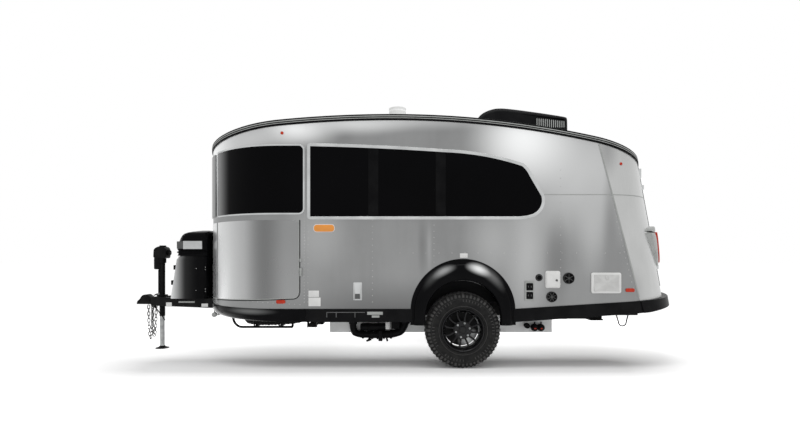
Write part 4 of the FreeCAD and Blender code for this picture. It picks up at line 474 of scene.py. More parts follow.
def softBox(low, high, radius=0.004, segments=2):
    # a block with rounded edges
    low, high = np.minimum(low, high), np.maximum(low, high)
    work = bmesh.new()
    bmesh.ops.create_cube(work, size=1.0)
    size, middle = high - low, (high + low) / 2
    for vert in work.verts:
        vert.co = [vert.co[i] * size[i] + middle[i] for i in range(3)]
    radius = min(radius, size.min() * 0.45)
    bmesh.ops.bevel(work, geom=list(work.edges), offset=radius, segments=segments, profile=0.5, affect="EDGES")
    return fromBmesh(work)


def blockAt(x, z, left, right, down, up, yFrom, yTo, radius=0.001, segments=2):
    # a rounded block about a place in X and Z
    return softBox((x - left, yFrom, z - down), (x + right, yTo, z + up), radius, segments)


def plate(outline, start, end, bevel=0.002, segments=2):
    # a flat outline of (X, Z) carried from start to end along Y, its edges rounded
    work = bmesh.new()
    rings = [[work.verts.new((u, y, v)) for u, v in outline] for y in (start, end)]
    count = len(outline)
    for i in range(count):
        work.faces.new((rings[0][i], rings[0][(i + 1) % count], rings[1][(i + 1) % count], rings[1][i]))
    work.faces.new(rings[0][::-1])
    work.faces.new(rings[1])
    bmesh.ops.recalc_face_normals(work, faces=work.faces)
    edges = [edge for edge in work.edges if edge.calc_face_angle(0) > math.radians(25)]
    bmesh.ops.bevel(work, geom=edges, offset=bevel, segments=segments, profile=0.5, affect="EDGES", clamp_overlap=True)
    return fromBmesh(work)


def roundOutline(corners, radius, steps=6):
    # a closed outline with each corner rounded by a quadratic curve between points a radius away from it
    corners = np.asarray(corners, float)
    points = []
    for before, corner, after in zip(np.roll(corners, 1, 0), corners, np.roll(corners, -1, 0)):
        start, end = (corner + (other - corner) * min(radius / np.linalg.norm(other - corner), 0.5)
                      for other in (before, after))
        t = np.linspace(0, 1, steps)[:, None]
        points.append((1 - t) ** 2 * start + 2 * t * (1 - t) * corner + t ** 2 * end)
    return np.concatenate(points)


def rectOutline(x0, z0, x1, z1, radius, steps=6):
    return roundOutline([(x0, z0), (x1, z0), (x1, z1), (x0, z1)], radius, steps)


def evened(line, steps):
    # the same run of points at even steps of their count
    line = np.asarray(line, float)
    fine = np.linspace(0, len(line) - 1, steps)
    return np.stack([np.interp(fine, np.arange(len(line)), column) for column in line.T], 1)


def calmed(line, rounds):
    # corners eased by averaging each point with its neighbours
    for _ in range(rounds):
        line[1:-1] = (line[:-2] + 2 * line[1:-1] + line[2:]) / 4
    return line


def slabPart(front, back):
    # a closed slab between two grids of places
    rows, columns = front.shape[:2]
    count = rows * columns
    faces = gridFaces(rows, columns)
    faces += [tuple(i + count for i in face)[::-1] for face in faces]
    numbers = np.arange(count).reshape(rows, columns)
    rim = [*numbers[:, 0], *numbers[-1, 1:], *numbers[-2::-1, -1], *numbers[0, -2:0:-1]]
    faces += [(a, b, b + count, a + count) for a, b in zip(rim, rim[1:] + rim[:1])]
    return np.concatenate([front.reshape(-1, 3), back.reshape(-1, 3)]), faces


def fromPhoto(column, row, y):
    # the X and Z of a photo's pixel on an upright plane at y
    scale = (view["back"] + y) / view["focalPixels"]
    across = view["across"] + (column - view["photoWidth"] / 2) * scale
    return across, view["height"] - (row - view["horizonRow"]) * scale


def photoRect(first, last, y):
    # left, low, right and high of the box between two photo pixels, given as its left top and right foot
    (x0, z1), (x1, z0) = fromPhoto(*first, y), fromPhoto(*last, y)
    return x0, z0, x1, z1


def dome(place, radius, rise, out=(0, -1, 0), sides=10):
    # a low round head: three rings and a tip, rising along out
    out = np.asarray(out, float) / np.linalg.norm(out)
    side = np.cross(out, (0, 0, 1.0) if abs(out[2]) < 0.9 else (1.0, 0, 0))
    side /= np.linalg.norm(side)
    ring = circle(1.0, sides) @ np.array([side, np.cross(side, out)])
    return gridPart([np.asarray(place, float) + out * rise * math.sin(a) + radius * math.cos(a) * ring
                     for a in np.radians((-20, 25, 62, 86))])


def placed(name, mesh, node, slotName, finish, sharp, mergeReach, closed):
    # the mesh as an object that rides on a CAD node's body and takes its finish from a slot
    work = bmesh.new()
    work.from_mesh(mesh)
    bmesh.ops.remove_doubles(work, verts=work.verts, dist=mergeReach)
    if closed:
        bmesh.ops.recalc_face_normals(work, faces=work.faces)
    else:
        bmesh.ops.dissolve_limit(work, angle_limit=math.radians(0.4), verts=work.verts, edges=work.edges)
    work.to_mesh(mesh)
    work.free()
    mesh.shade_smooth()
    mesh.set_sharp_from_angle(angle=math.radians(sharp))
    mesh.materials.clear()
    mesh.materials.append(materials[finish or slotName])
    item = bpy.data.objects.new(name, mesh)
    bpy.context.scene.collection.objects.link(item)
    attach(item, bodyOf[node])
    return item


def piece(name, part, node, slotName, replaced=(), finish=None, sharp=34):
    # a part of this script on a CAD node's body
    mesh = bpy.data.meshes.new(name)
    mesh.from_pydata([tuple(point) for point in part[0]], [], part[1])
    item = placed(name, mesh, node, slotName, finish, sharp, 1e-6, True)
    if replaced:
        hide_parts(*replaced)


def dressed(node, slotName, bevel=0.0015, finish=None, sharp=30):
    # a copy of a CAD node with merged corners, eased edges and smooth curves
    mesh = frame["nodes"][node].data.copy()
    mesh.name = node + "_dressed"
    item = placed(node + "_dressed", mesh, node, slotName, finish, sharp, 2e-5, False)
    ease = item.modifiers.new("easedEdges", "BEVEL")
    ease.width = bevel
    ease.segments = 2
    ease.limit_method = "ANGLE"
    ease.angle_limit = math.radians(sharp)
    ease.harden_normals = True
    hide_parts(node)


# The body's plan, as in the CAD: round nose, straight sides and a rear tipped forwards

plan = {"halfWidth": 1.02, "noseFront": -2.08, "noseArc": 1.03, "noseCorner": 0.9, "noseStart": -1.1,
        "tailReach": 3.021, "tailArc": 1.532, "tailCorner": 0.6, "tailStart": 2.321, "skirtTop": 0.582,
        "lean": math.atan2(370, 2004), "roofPeak": 2.495, "frontArch": 11.3, "rearArch": 9.3}


def endCurve(turn, reach, arc, corner, start, offset):
    # two tangent arcs: the wide one in the middle and a corner on each side, by the angle from the middle
    centreOff = plan["halfWidth"] - corner
    middle = reach - arc
    join = math.atan2(centreOff, start - middle)
    angle = np.abs(turn)
    wide = angle < join
    along = np.where(wide, middle + (arc + offset) * np.cos(angle), start + (corner + offset) * np.cos(angle))
    across = np.where(wide, (arc + offset) * np.sin(angle), centreOff + (corner + offset) * np.sin(angle))
    return along, across * np.sign(turn)


def noseAt(turn, height, offset=0.0):
    # points on the upright nose: the turn is from the middle, less than zero on the photographed side
    turn = np.asarray(turn, float)
    along, across = endCurve(turn, -plan["noseFront"], plan["noseArc"], plan["noseCorner"], -plan["noseStart"], offset)
    height = np.broadcast_to(height, turn.shape)
    return np.stack([-along, across, height], -1)


def tailAt(turn, height, offset=0.0):
    # points on the rear, which is an upright end tipped about the skirt's top by the lean
    turn = np.asarray(turn, float)
    height = np.broadcast_to(height, turn.shape)
    along, across = endCurve(turn, plan["tailReach"], plan["tailArc"], plan["tailCorner"], plan["tailStart"], offset)
    tipped = plan["tailReach"] + (along - plan["tailReach"]) / math.cos(plan["lean"])
    tipped = tipped - math.tan(plan["lean"]) * (height - plan["skirtTop"])
    return np.stack([tipped, across, height], -1)


def roofEdge(x):
    # height of the roof's edge: one arc forward of the peak and a tighter one behind it
    arch = np.where(np.asarray(x) < 0, plan["frontArch"], plan["rearArch"])
    return plan["roofPeak"] - (arch - np.sqrt(arch ** 2 - np.asarray(x) ** 2))


def bodyLoop(heightAt, offset=0.0, noseSteps=48, sideSteps=40, tailSteps=36):
    # a closed loop round the body at a height that may change along it, from the nose by the -Y side
    nose = noseAt(-np.linspace(0, np.pi / 2, noseSteps), 0, offset)
    nose[:, 2] = heightAt(nose[:, 0])
    turns = -np.linspace(np.pi / 2, 0, tailSteps)
    tail = tailAt(turns, 1.0, offset)
    for _ in range(12):
        tail = tailAt(turns, heightAt(tail[:, 0]), offset)
    x = np.linspace(nose[-1, 0], tail[0, 0], sideSteps + 2)[1:-1]
    side = np.stack([x, np.full_like(x, -plan["halfWidth"] - offset), heightAt(x)], 1)
    half = np.concatenate([nose, side, tail])
    other = half[-2:0:-1] * (1, -1, 1)
    return np.concatenate([half, other])


# Walls and roof

for node, finish in (("side_wall_left", None), ("side_wall_right", None), ("nose_wall", None), ("entry_door", None),
                     ("rear_wall", "lit_rear_skin"), ("rear_hatch", "lit_rear_skin")):
    dressed(node, "aluminium_skin", bevel=0.001, finish=finish)
dressed("roof_panel", "roof_skin", bevel=0.006)
dressed("stone_guards", "polished_trim", bevel=0.001, finish="guard_steel")
for node in ("side_glass", "front_glass", "door_glass", "hatch_glass"):
    dressed(node, "window_glass")
print("walls dressed")

edgeRail = {"height": 0.060, "proud": 0.012, "ribs": 3, "ribDepth": 0.004}


def edgeRailPart():
    # a ribbed band under the roof's edge: ripples of a cosine between a flat foot and a flat head
    levels = np.linspace(0, 1, 25)
    ripple = edgeRail["ribDepth"] * 0.5 * (1 - np.cos(2 * np.pi * edgeRail["ribs"] * levels))
    proud = edgeRail["proud"] - ripple
    proud[0] = proud[-1] = edgeRail["proud"] * 0.5
    rows = [(edgeRail["height"] * (1 - level), out) for level, out in zip(levels, proud)]
    return roundBody(rows + [(0.002, 0.0), (edgeRail["height"], 0.0)])


def roundBody(rows):
    # an outline carried round the body below the roof's edge: rows are (drop, distance out)
    return gridPart(np.stack([bodyLoop(lambda x: roofEdge(x) - drop, out) for drop, out in rows], 1), wrapRows=True)


piece("edge_rail", edgeRailPart(), "roof_edge_rail", "dark_trim", ["roof_edge_rail"])
railLines = [roundBody([(drop, out - 0.006), (drop, out), (drop + tall, out), (drop + tall, out - 0.006)])
             for drop, tall, out in ((0.016, 0.009, 0.0135), (0.036, 0.006, 0.0132))]
piece("edge_rail_lines", joined(railLines), "roof_edge_rail", "dark_trim", finish="lamp_grey")


# Window surrounds on the straight sides

dressed("window_surrounds", "polished_trim", bevel=0.0012)
dressed("window_dividers", "dark_trim", bevel=0.002)


# Tyres with chunky tread

tyre = {"radius": 0.372, "outerFace": 1.045, "width": 0.235, "centreX": 0.70, "beadRadius": 0.212, "pitches": 56,
        "grooveDepth": 0.010, "shoulder": 0.050, "longLug": 0.026, "shortLug": 0.034}
tyreCentre = np.array((tyre["centreX"], 0, tyre["radius"]))


def wheelSpot(radius, turn, y):
    # a place about the wheel's axle line
    return tyreCentre + np.stack([radius * np.cos(turn), y + 0 * turn, radius * np.sin(turn)], -1)


def tyreCarcass():
    # section points as (share across the width, share from bead to tread)
    section = [(0.10, 0.0), (0.045, 0.03), (0.03, 0.10), (0.012, 0.22), (0.0, 0.42), (0.006, 0.60), (0.03, 0.76),
               (0.075, 0.88), (0.13, 0.935), (0.25, 0.955), (0.5, 0.962)]
    section = section + [(1 - a, b) for a, b in section[-2::-1]]
    inner = [(0.90, 0.06), (0.93, 0.30), (0.90, 0.72), (0.75, 0.86), (0.25, 0.86), (0.10, 0.72), (0.07, 0.30),
             (0.10, 0.06)]
    band = tyre["radius"] - tyre["beadRadius"]
    rows = [(-tyre["outerFace"] + a * tyre["width"], tyre["beadRadius"] + b * band) for a, b in section + inner]
    return turnedPart(rows, tyreCentre, steps=144)


def treadBlock(across, turn, lift, widthTurn, skew):
    # one tread block: four corners across by turn, drawn in a little towards its top
    left, right = across
    half = widthTurn / 2
    corners = np.array([(left, -half - skew), (right, -half + skew), (right, half + skew), (left, half - skew)])
    middle = corners.mean(0)
    low, high = lift
    rows = []
    for radiusPair, shrink in ((low, 1.0), (high, 0.90)):
        ring = middle + (corners - middle) * shrink
        radius = np.where(np.isclose(corners[:, 0], left), *radiusPair)
        rows.append(wheelSpot(radius, turn + ring[:, 1], -tyre["outerFace"] + ring[:, 0] * tyre["width"]))
    return gridPart(rows)


def tyreTread():
    top = tyre["radius"]
    floor = top - tyre["grooveDepth"] - 0.004
    pitch = 2 * np.pi / tyre["pitches"]
    parts = []
    for i in range(tyre["pitches"]):
        turn = i * pitch
        lug, wide = (tyre["longLug"], 0.62) if i % 2 == 0 else (tyre["shortLug"], 0.50)
        foot, head = (top - tyre["shoulder"], floor), (top - lug, top)
        # from the outer shoulder to the inner one: (from, to) shares, turn offset, radii at both ends, width and skew
        rows = [((0.005, 0.20), 0, foot, head, wide, 0.0), ((0.80, 0.995), 0.5, foot[::-1], head[::-1], wide, 0.0)]
        rows += [(across, off, (floor, floor), (top - drop, top - drop), width, skew)
                 for across, off, drop, width, skew in
                 (((0.225, 0.395), 0.35, 0.004, 0.74, 0.14), ((0.605, 0.775), 0.85, 0.004, 0.74, 0.14),
                  ((0.42, 0.58), 0.6, 0.002, 0.76, -0.16))]
        parts += [treadBlock(across, turn + pitch * off, (low, high), pitch * width, pitch * skew)
                  for across, off, low, high, width, skew in rows]
    return joined(parts)


def sidewallRings():
    # two raised rings and a row of small radial ribs near the shoulder
    band = tyre["radius"] - tyre["beadRadius"]
    parts = []
    for share, size in ((0.16, 0.0022), (0.60, 0.0018)):
        path = wheelSpot(tyre["beadRadius"] + share * band, aroundTurn(144), -tyre["outerFace"] + 0.003)
        parts.append(tubePart(path, size, 8, closed=True))
    low, high = tyre["beadRadius"] + 0.44 * band, tyre["beadRadius"] + 0.58 * band
    for i, turn in enumerate(aroundTurn(60)):
        if i % 10 < 7:
            ends = [wheelSpot(r, math.pi / 2 - turn, -tyre["outerFace"] + 0.002) for r in (low, high)]
            parts.append(rodPart(*ends, 0.0045, sides=6))
    return joined(parts)


for side, node, turnBack in (("near", "tyre_left", unturned), ("far", "tyre_right", mirrored)):
    piece("tyre_" + side, turnBack(tyreCarcass()), node, "tyre_rubber", [node], sharp=40)
    piece("tyre_lugs_" + side, turnBack(joined([tyreTread(), sidewallRings()])), node, "tyre_rubber",
          finish="lug_rubber", sharp=30)
print("tyres built")


# Rims: lipped barrel, twelve twisted spokes, hub, nuts and cap

rim = {"radius": 0.2115, "outer": 1.030, "depth": 0.195, "hubRadius": 0.072, "spokes": 12, "firstTurn": 15,
       "spokeFace": -0.992, "spokeDish": 0.016, "spokeDrop": 0.006, "twist": (10, 34), "sweep": 5.0,
       "spokeHalf": (0.0125, 0.0035), "spokeDeep": (0.010, 0.003), "spokeEnds": (0.004, 0.018),
       "nutCircle": 0.06985, "nutRadius": 0.011, "capRadius": 0.040}


def rimPart():
    depth, radius = rim["depth"], rim["radius"]
    # barrel rows are (inwards from the outer face, below the rim's radius)
    barrel = [(0, 0), (-0.006, 0.003), (-0.007, 0.010), (-0.001, 0.016), (0.020, 0.024), (0.060, 0.030),
              (depth - 0.03, 0.022), (depth, 0.006), (depth, 0)]
    parts = [turnedPart([(-rim["outer"] + a, radius - b) for a, b in barrel], tyreCentre, steps=120)]
    # hub: a dished face that the spokes grow out of
    hub = [(-0.985, 0.006), (-1.004, 0.020), (-1.006, rim["hubRadius"] * 0.8), (-0.998, rim["hubRadius"] + 0.016),
           (-0.985, rim["hubRadius"] + 0.020), (-0.960, rim["hubRadius"] + 0.012), (-0.960, 0.006)]
    parts.append(turnedPart(hub, tyreCentre))
    # spokes: a tapering oval that twists as it runs out and drops back to the barrel
    share = np.linspace(0, 1, 14)
    arch = np.sin(share * np.pi)
    (atHub, atRim), (twistFrom, twistBy) = rim["spokeEnds"], rim["twist"]
    (widest, waist), (thin, deeper) = rim["spokeHalf"], rim["spokeDeep"]
    reach = rim["hubRadius"] + atHub + share * (radius - atRim - rim["hubRadius"])
    face = rim["spokeFace"] - rim["spokeDish"] * np.sin(share * np.pi * 0.9) + rim["spokeDrop"] * share
    twist = np.radians(twistFrom + twistBy * share)
    halfWidth, halfDepth = widest - waist * arch, thin + deeper * share
    sweepTurn = np.radians(rim["sweep"]) * arch
    section = circle(1.0, 12)
    wide, deep = section[:, 0] * halfWidth[:, None], section[:, 1] * halfDepth[:, None]
    cosine, sine = np.cos(twist)[:, None], np.sin(twist)[:, None]
    across, along = wide * cosine - deep * sine, wide * sine + deep * cosine
    for base in aroundTurn(rim["spokes"]) + np.radians(rim["firstTurn"]):
        angle = base + sweepTurn
        middle = wheelSpot(reach, angle, face)
        tangent = wheelSpot(1.0, angle + np.pi / 2, 0.0) - tyreCentre
        points = middle[:, None] + tangent[:, None] * across[..., None] + np.array([0, 1.0, 0]) * along[..., None]
        parts.append(gridPart(points))
    return joined(parts)


def rimBright():
    # machined nuts, each with a stud's end
    parts = []
    for turn in aroundTurn(6) + np.radians(rim["firstTurn"]):
        for start, end, radius, sides, bevel in ((-1.000, -1.019, rim["nutRadius"], 6, 0.002),
                                                 (-1.016, -1.024, rim["nutRadius"] * 0.6, 16, 0.0)):
            ends = [wheelSpot(rim["nutCircle"], turn, y) for y in (start, end)]
            parts.append(rodPart(*ends, radius, sides=sides, bevel=bevel))
    return joined(parts)


# turned outlines of (along the axle, radius): the drum, the barrel's bright inside and the cap
drumRows = [(-0.765, 0.010), (-0.765, 0.168), (-0.790, 0.174), (-0.875, 0.174), (-0.882, 0.166), (-0.882, 0.060),
            (-0.958, 0.056), (-0.958, 0.010)]
insideRows = [(-rim["outer"] + a, rim["radius"] - b)
              for a, b in ((0.055, 0.0315), (0.060, 0.036), (0.165, 0.028), (0.165, 0.0225))]
hubCapRows = [(-1.000, 0.05), (-1.000, 1), (-1.020, 1), (-1.0255, 0.92), (-1.027, 0.75), (-1.024, 0.70), (-1.026, 0.4),
              (-1.0265, 0.05)]
hubCap = turnedPart([(y, rim["capRadius"] * share) for y, share in hubCapRows], tyreCentre, steps=64)
brakeDrum, barrelInside = turnedPart(drumRows, tyreCentre, steps=72), turnedPart(insideRows, tyreCentre, steps=120)
for side, node, turnBack in (("near", "rim_left", unturned), ("far", "rim_right", mirrored)):
    piece("rim_" + side, turnBack(joined([rimPart(), hubCap])), node, "dark_rim", [node])
    piece("wheel_nuts_" + side, turnBack(rimBright()), node, "zinc_steel")
    piece("brake_drum_" + side, turnBack(brakeDrum), node, "dark_rim", finish="drum_black")
    piece("rim_barrel_" + side, turnBack(barrelInside), node, "polished_trim")
print("rims built")


# Fender flares: a thin flange, then a bulging band that turns in over the tyre

flare = {"centreX": 0.70, "outerRadius": 0.498, "outerHeight": 0.576, "innerRadius": 0.392, "innerHeight": 0.470,
         "low": 0.425, "splay": 0.04, "innerSplay": -0.065, "proud": 0.045,
         "flangeShare": 0.24, "flangeProud": 0.008}


def archLine(radius, height, splay, steps=72, legSteps=6):
    # up one leg, round the arch and down the other leg
    up = np.linspace(flare["low"], height, legSteps, endpoint=False)
    turns = np.linspace(np.pi, 0, steps)
    x = np.concatenate([np.full(legSteps, -radius), radius * np.cos(turns), np.full(legSteps, radius)])
    z = np.concatenate([up, height + radius * np.sin(turns), up[::-1]])
    # the legs splay a little, more towards their feet
    wider = 1 + splay * (1 - (z - flare["low"]) / (height + radius - flare["low"])) ** 0.7
    return np.stack([flare["centreX"] + x * wider, z], 1)


def flarePart():
    outer = archLine(flare["outerRadius"], flare["outerHeight"], flare["splay"])
    inner = archLine(flare["innerRadius"], flare["innerHeight"], flare["innerSplay"])
    thin, proud, share = flare["flangeProud"], flare["proud"], flare["flangeShare"]
    # section from the outer rim to the inner one: (share inwards, distance out from the wall)
    section = [(0.0, 0.0), (0.0, thin * 0.6), (0.012, thin), (share - 0.03, thin), (share - 0.01, thin * 1.2),
               (share, thin * 2.2)]
    section += [(share + a, proud * b) for a, b in ((0.03, 0.52), (0.09, 0.72), (0.19, 0.90), (0.33, 0.99), (0.46, 1),
                                                    (0.58, 0.97), (0.68, 0.88))]
    section += [(0.97, proud * 0.70), (1.0, proud * 0.45), (1.0, -0.03), (0.96, -0.03), (0.94, proud * 0.3),
                (share + 0.5, proud * 0.8), (share + 0.1, proud * 0.5), (share + 0.02, 0.0)]
    section = np.array(section)
    across = outer[:, None] + (inner - outer)[:, None] * section[None, :, :1]
    out = np.broadcast_to(-(plan["halfWidth"] + section[:, 1]), across.shape[:2])
    points = np.stack([across[..., 0], out, across[..., 1]], -1)
    return gridPart(points)


piece("flares", joined([flarePart(), mirrored(flarePart())]), "wheel_flares", "black_plastic", ["wheel_flares"],
      finish="gloss_black", sharp=50)
print("flares built")


# Front skirt: bow-shaped, its face a quarter ellipse that draws in most at the middle of the nose

frontSkirt = {"top": 0.582, "shoulder": 0.560, "bottom": 0.454, "proud": 0.012, "drawnIn": 0.15, "drawnRear": 0.012,
              "thickness": 0.022, "rear": -0.842}


def frontSkirtPart():
    turns = -np.linspace(0, np.pi / 2, 40)
    straight = np.linspace(plan["noseStart"], frontSkirt["rear"], 6)[1:]
    share = np.concatenate([np.cos(turns) ** 0.8, np.zeros(len(straight))])
    drawn = frontSkirt["drawnRear"] + (frontSkirt["drawnIn"] - frontSkirt["drawnRear"]) * share
    proud, back = frontSkirt["proud"], frontSkirt["proud"] - frontSkirt["thickness"]
    top, shoulder, bottom = (frontSkirt[key] for key in ("top", "shoulder", "bottom"))
    rows = [(proud - 0.002 + 0 * drawn, top)]
    rows += [(proud - drawn * (1 - math.cos(t)), shoulder - (shoulder - bottom) * math.sin(t))
             for t in np.linspace(0, np.pi / 2, 14)]
    rows += [(proud - drawn - 0.02, bottom + 0.004), (back - drawn * 0.3, shoulder), (back + 0 * drawn, top)]
    grid = []
    for offset, height in rows:
        nose = noseAt(turns, height, offset[:len(turns)])
        side = np.stack([straight, -plan["halfWidth"] - offset[len(turns):], np.full(len(straight), height)], 1)
        half = np.concatenate([nose, side])
        grid.append(np.concatenate([half[::-1], half[1:] * (1, -1, 1)]))
    return gridPart(np.stack(grid, 1))


piece("front_skirt", frontSkirtPart(), "skirt_front", "black_plastic", ["skirt_front"], finish="gloss_black",
      sharp=50)


# Coupler, latch lever, jack and chains

coupler = {
    "half": 0.047,
    "cup": ((137.2, 303.9), (138.0, 300.8), (140.4, 299.0), (141.6, 296.6), (143.6, 294.8), (147.2, 294.2),
            (149.4, 295.6), (151.5, 297.4), (158.5, 297.2), (168.2, 297.4), (168.2, 303.6), (158, 304.4), (148, 304.0)),
    "lever": ((152.8, 295.2), (155.4, 293.7), (158.0, 293.4), (161.4, 294.4), (161.2, 295.2), (158.0, 294.4),
              (155.6, 294.7), (153.2, 295.9)),
}


def photoLine(pixels, y):
    return [fromPhoto(column, row, y) for column, row in pixels]


def couplerPart():
    # the cup's side outline is drawn on the photo and carried across, with a lever, two pins and a bent bar
    parts = [plate(roundOutline(photoLine(coupler["cup"], -0.03), 0.014), -coupler["half"], coupler["half"], 0.006, 3),
             plate(photoLine(coupler["lever"], -0.03), -0.014, 0.014)]
    x, z = fromPhoto(150, 300.0, -0.03)
    parts.append(rodPart((x, -0.060, z), (x, 0.060, z), 0.009, sides=16))
    parts.append(rodPart((x - 0.05, -0.052, z + 0.018), (x - 0.05, 0.052, z + 0.018), 0.006, sides=12))
    a, b, c = photoLine(((154.6, 303.6), (156.8, 307.6), (166.2, 319.8)), -0.05)
    parts.append(rodPart((a[0], -0.066, a[1]), (b[0], -0.070, b[1]), 0.014, sides=16))
    parts.append(rodPart((b[0], -0.070, b[1]), (c[0], -0.074, c[1]), 0.006, sides=12))
    return joined(parts)


piece("coupler_cup", couplerPart(), "coupler", "black_steel", ["coupler"])

jack = {"x": -2.770, "tubeRadius": 0.031, "tubeLow": 0.385, "legRadius": 0.0268, "footRadius": 0.078,
        "motor": (-2.814, 0.0495), "knob": (-2.700, 1.142, 0.030)}


def jackPart():
    x, (motorX, motorReach), (knobX, knobZ, knobReach) = jack["x"], jack["motor"], jack["knob"]
    # upright rods: (offset, low, high, radius, sides, bevel)
    parts = [rodPart((x + off, 0, low), (x + off, 0, high), radius, sides, bevel)
             for off, low, high, radius, sides, bevel in
             ((0, jack["tubeLow"], 1.075, jack["tubeRadius"], 40, 0.002), (0, 0.626, 0.640, 0.062, 40, 0.003),
              (0, 1.020, 1.082, 0.043, 40, 0.004), (motorX - x, 0.944, 1.100, 0.050, 40, 0.007),
              (0.005, 1.19, 1.229, 0.038, 32, 0.004))]
    gearCase = [(-2.852, 1.082), (-2.704, 1.074), (-2.696, 1.140), (-2.706, 1.198), (-2.740, 1.218), (-2.800, 1.216),
                (-2.846, 1.186)]
    parts.append(plate(roundOutline(gearCase, 0.022), -0.060, 0.060, 0.016, 4))
    for turn in aroundTurn(8):
        y, z = knobReach * math.cos(turn), knobZ + knobReach * math.sin(turn)
        parts.append(blockAt(knobX, z, 0, 0.024, 0.006, 0.006, y - 0.006, y + 0.006, 0.002))
    parts.append(rodPart((-2.704, 0, knobZ), (-2.672, 0, knobZ), knobReach, 32, 0.003))
    # ribs down the motor and screw heads on each side of the case
    for turn in aroundTurn(10):
        px, py = motorX + motorReach * math.cos(turn), motorReach * math.sin(turn)
        parts.append(softBox((px - 0.002, py - 0.002, 0.952), (px + 0.002, py + 0.002, 1.070), 0.001))
    for sign in (-1, 1):
        for spotX, spotZ in ((-2.832, 1.105), (-2.826, 1.176), (-2.725, 1.100), (-2.725, 1.190)):
            parts.append(dome((spotX, sign * 0.0605, spotZ), 0.006, 0.003, (0, sign, 0)))
    parts.append(rodPart((x - 0.027, -0.030, 0.66), (x - 0.027, -0.030, 0.94), 0.0080, sides=12))
    return joined(parts)


piece("jack_body", jackPart(), "jack_housing", "black_steel", ["jack_housing"])
strips = [blockAt(jack["x"] - 0.024, z, 0.010, 0.001, 0, 0.030, -0.026, -0.018) for z in (0.700, 0.920)]
piece("jack_strip", joined(strips), "jack_housing", "zinc_steel", finish="lamp_grey")
piece("jack_inner", rodPart((jack["x"], 0, 0.020), (jack["x"], 0, 0.720), jack["legRadius"], sides=40), "jack_leg",
      "zinc_steel", ["jack_leg"])
# a foot dished like a saucer: height against radius
saucer = [(0.0, 0.0012), (0.002, jack["footRadius"]), (0.0045, jack["footRadius"]), (0.008, 0.062), (0.020, 0.036),
          (0.030, 0.030), (0.030, 0.0012)]
piece("jack_foot", turnedPart(saucer, (jack["x"], 0, 0), steps=72, axis="z"), "jack_leg", "zinc_steel",
      finish="black_steel")

# each loop is (middle along X, half width, depth, Y, turn of its first link in degrees)
chain = {"pitch": 0.040, "linkLong": 0.056, "linkWide": 0.033, "wire": 0.0043, "top": 0.520,
         "loops": ((-2.894, 0.023, 0.400, -0.034, 20), (-2.884, 0.021, 0.372, 0.034, 50))}


def chainLoop(centre, halfWidth, depth, y, startTurn):
    # links set at equal steps along a half ellipse, each turned a quarter from the last
    theta = np.linspace(0, np.pi, 400)
    x, z = centre + halfWidth * np.cos(theta), chain["top"] - depth * np.sin(theta)
    run = np.concatenate([[0], np.cumsum(np.hypot(np.diff(x), np.diff(z)))])
    stops = np.arange(chain["pitch"] / 2, run[-1], chain["pitch"])
    px, pz = np.interp(stops, run, x), np.interp(stops, run, z)
    tx, tz = np.interp(stops, run, np.gradient(x, run)), np.interp(stops, run, np.gradient(z, run))
    turns = aroundTurn(20)
    straight = (chain["linkLong"] - chain["linkWide"]) / 2
    bow = chain["linkWide"] / 2 - chain["wire"]
    ring = np.stack([bow * np.cos(turns), np.zeros(20), bow * np.sin(turns) + np.sign(np.sin(turns)) * straight], 1)
    points, faces = tubePart(ring, chain["wire"], 8, closed=True)
    side = np.array((0, 1.0, 0))
    links = []
    for i in range(len(stops)):
        along = np.array((tx[i], 0, tz[i])) / math.hypot(tx[i], tz[i])
        a = math.radians(startTurn + 90 * (i % 2))
        across = math.cos(a) * side + math.sin(a) * np.cross(along, side)
        axes = np.array((across, np.cross(along, across), along))
        links.append((points @ axes + (px[i], y, pz[i]), faces))
    return joined(links)


piece("chains_hung", joined([chainLoop(*loop) for loop in chain["loops"]]), "safety_chains", "zinc_steel",
      ["safety_chains"], finish="dark_zinc", sharp=60)
print("tongue built")


# Bottle cover and its lid: rounded rectangles stacked up a leaning front

cover = {"half": 0.350, "rear": -2.100, "foot": (-2.528, 0.625), "slope": 0.158,
         "domes": ((196, 268), (205, 268), (205, 269.6), (196, 290), (205, 290), (205, 291.6)),
         "screws": ((196.3, 268.5), (205.4, 267.2), (205.4, 269.6), (196.0, 290.3), (205.4, 289.0), (205.4, 291.4))}


def coverFront(z):
    return cover["foot"][0] + (z - cover["foot"][1]) * cover["slope"]


def coverHeads(pixels, radius, lift=0.0):
    heads = [dome((x, -cover["half"] - lift, z), radius, 0.003) for x, z in photoLine(pixels, -cover["half"])]
    return joined(heads + [mirrored(head) for head in heads])


def stackedShell(levels, half, corner):
    # each level is (height, front, rear, inset of the sides): a rounded rectangle, joined to the next
    rings = []
    for height, front, rear, inset in levels:
        corners = [(front, -half + inset), (rear, -half + inset), (rear, half - inset), (front, half - inset)]
        ring = roundOutline(corners, max(corner - inset * 0.4, 0.012), 8)
        rings.append(np.column_stack([ring, np.full(len(ring), height)]))
    return gridPart(rings)


def bottleBasePart():
    rear, front = cover["rear"], coverFront(1.07)
    levels = [(z, coverFront(z), rear, 0.0) for z in np.linspace(0.622, 1.060, 9)]
    levels += [(z, front + inset, rear, inset)
               for z, inset in ((1.072, 0.004), (1.078, 0.012), (1.084, 0.014), (1.098, 0.014))]
    levels += [(z, x, rear - 0.03, 0.040) for z, x in
               ((1.098, front + 0.040), (1.05, front + 0.040), (0.64, -2.46), (0.622, -2.47))]
    upstand = [(1.080, -2.430, rear - 0.015, 0.022), (1.150, -2.428, rear - 0.015, 0.022)]
    return joined([stackedShell(levels, cover["half"], 0.085), stackedShell(upstand, cover["half"], 0.075),
                   coverHeads(cover["domes"], 0.005)])


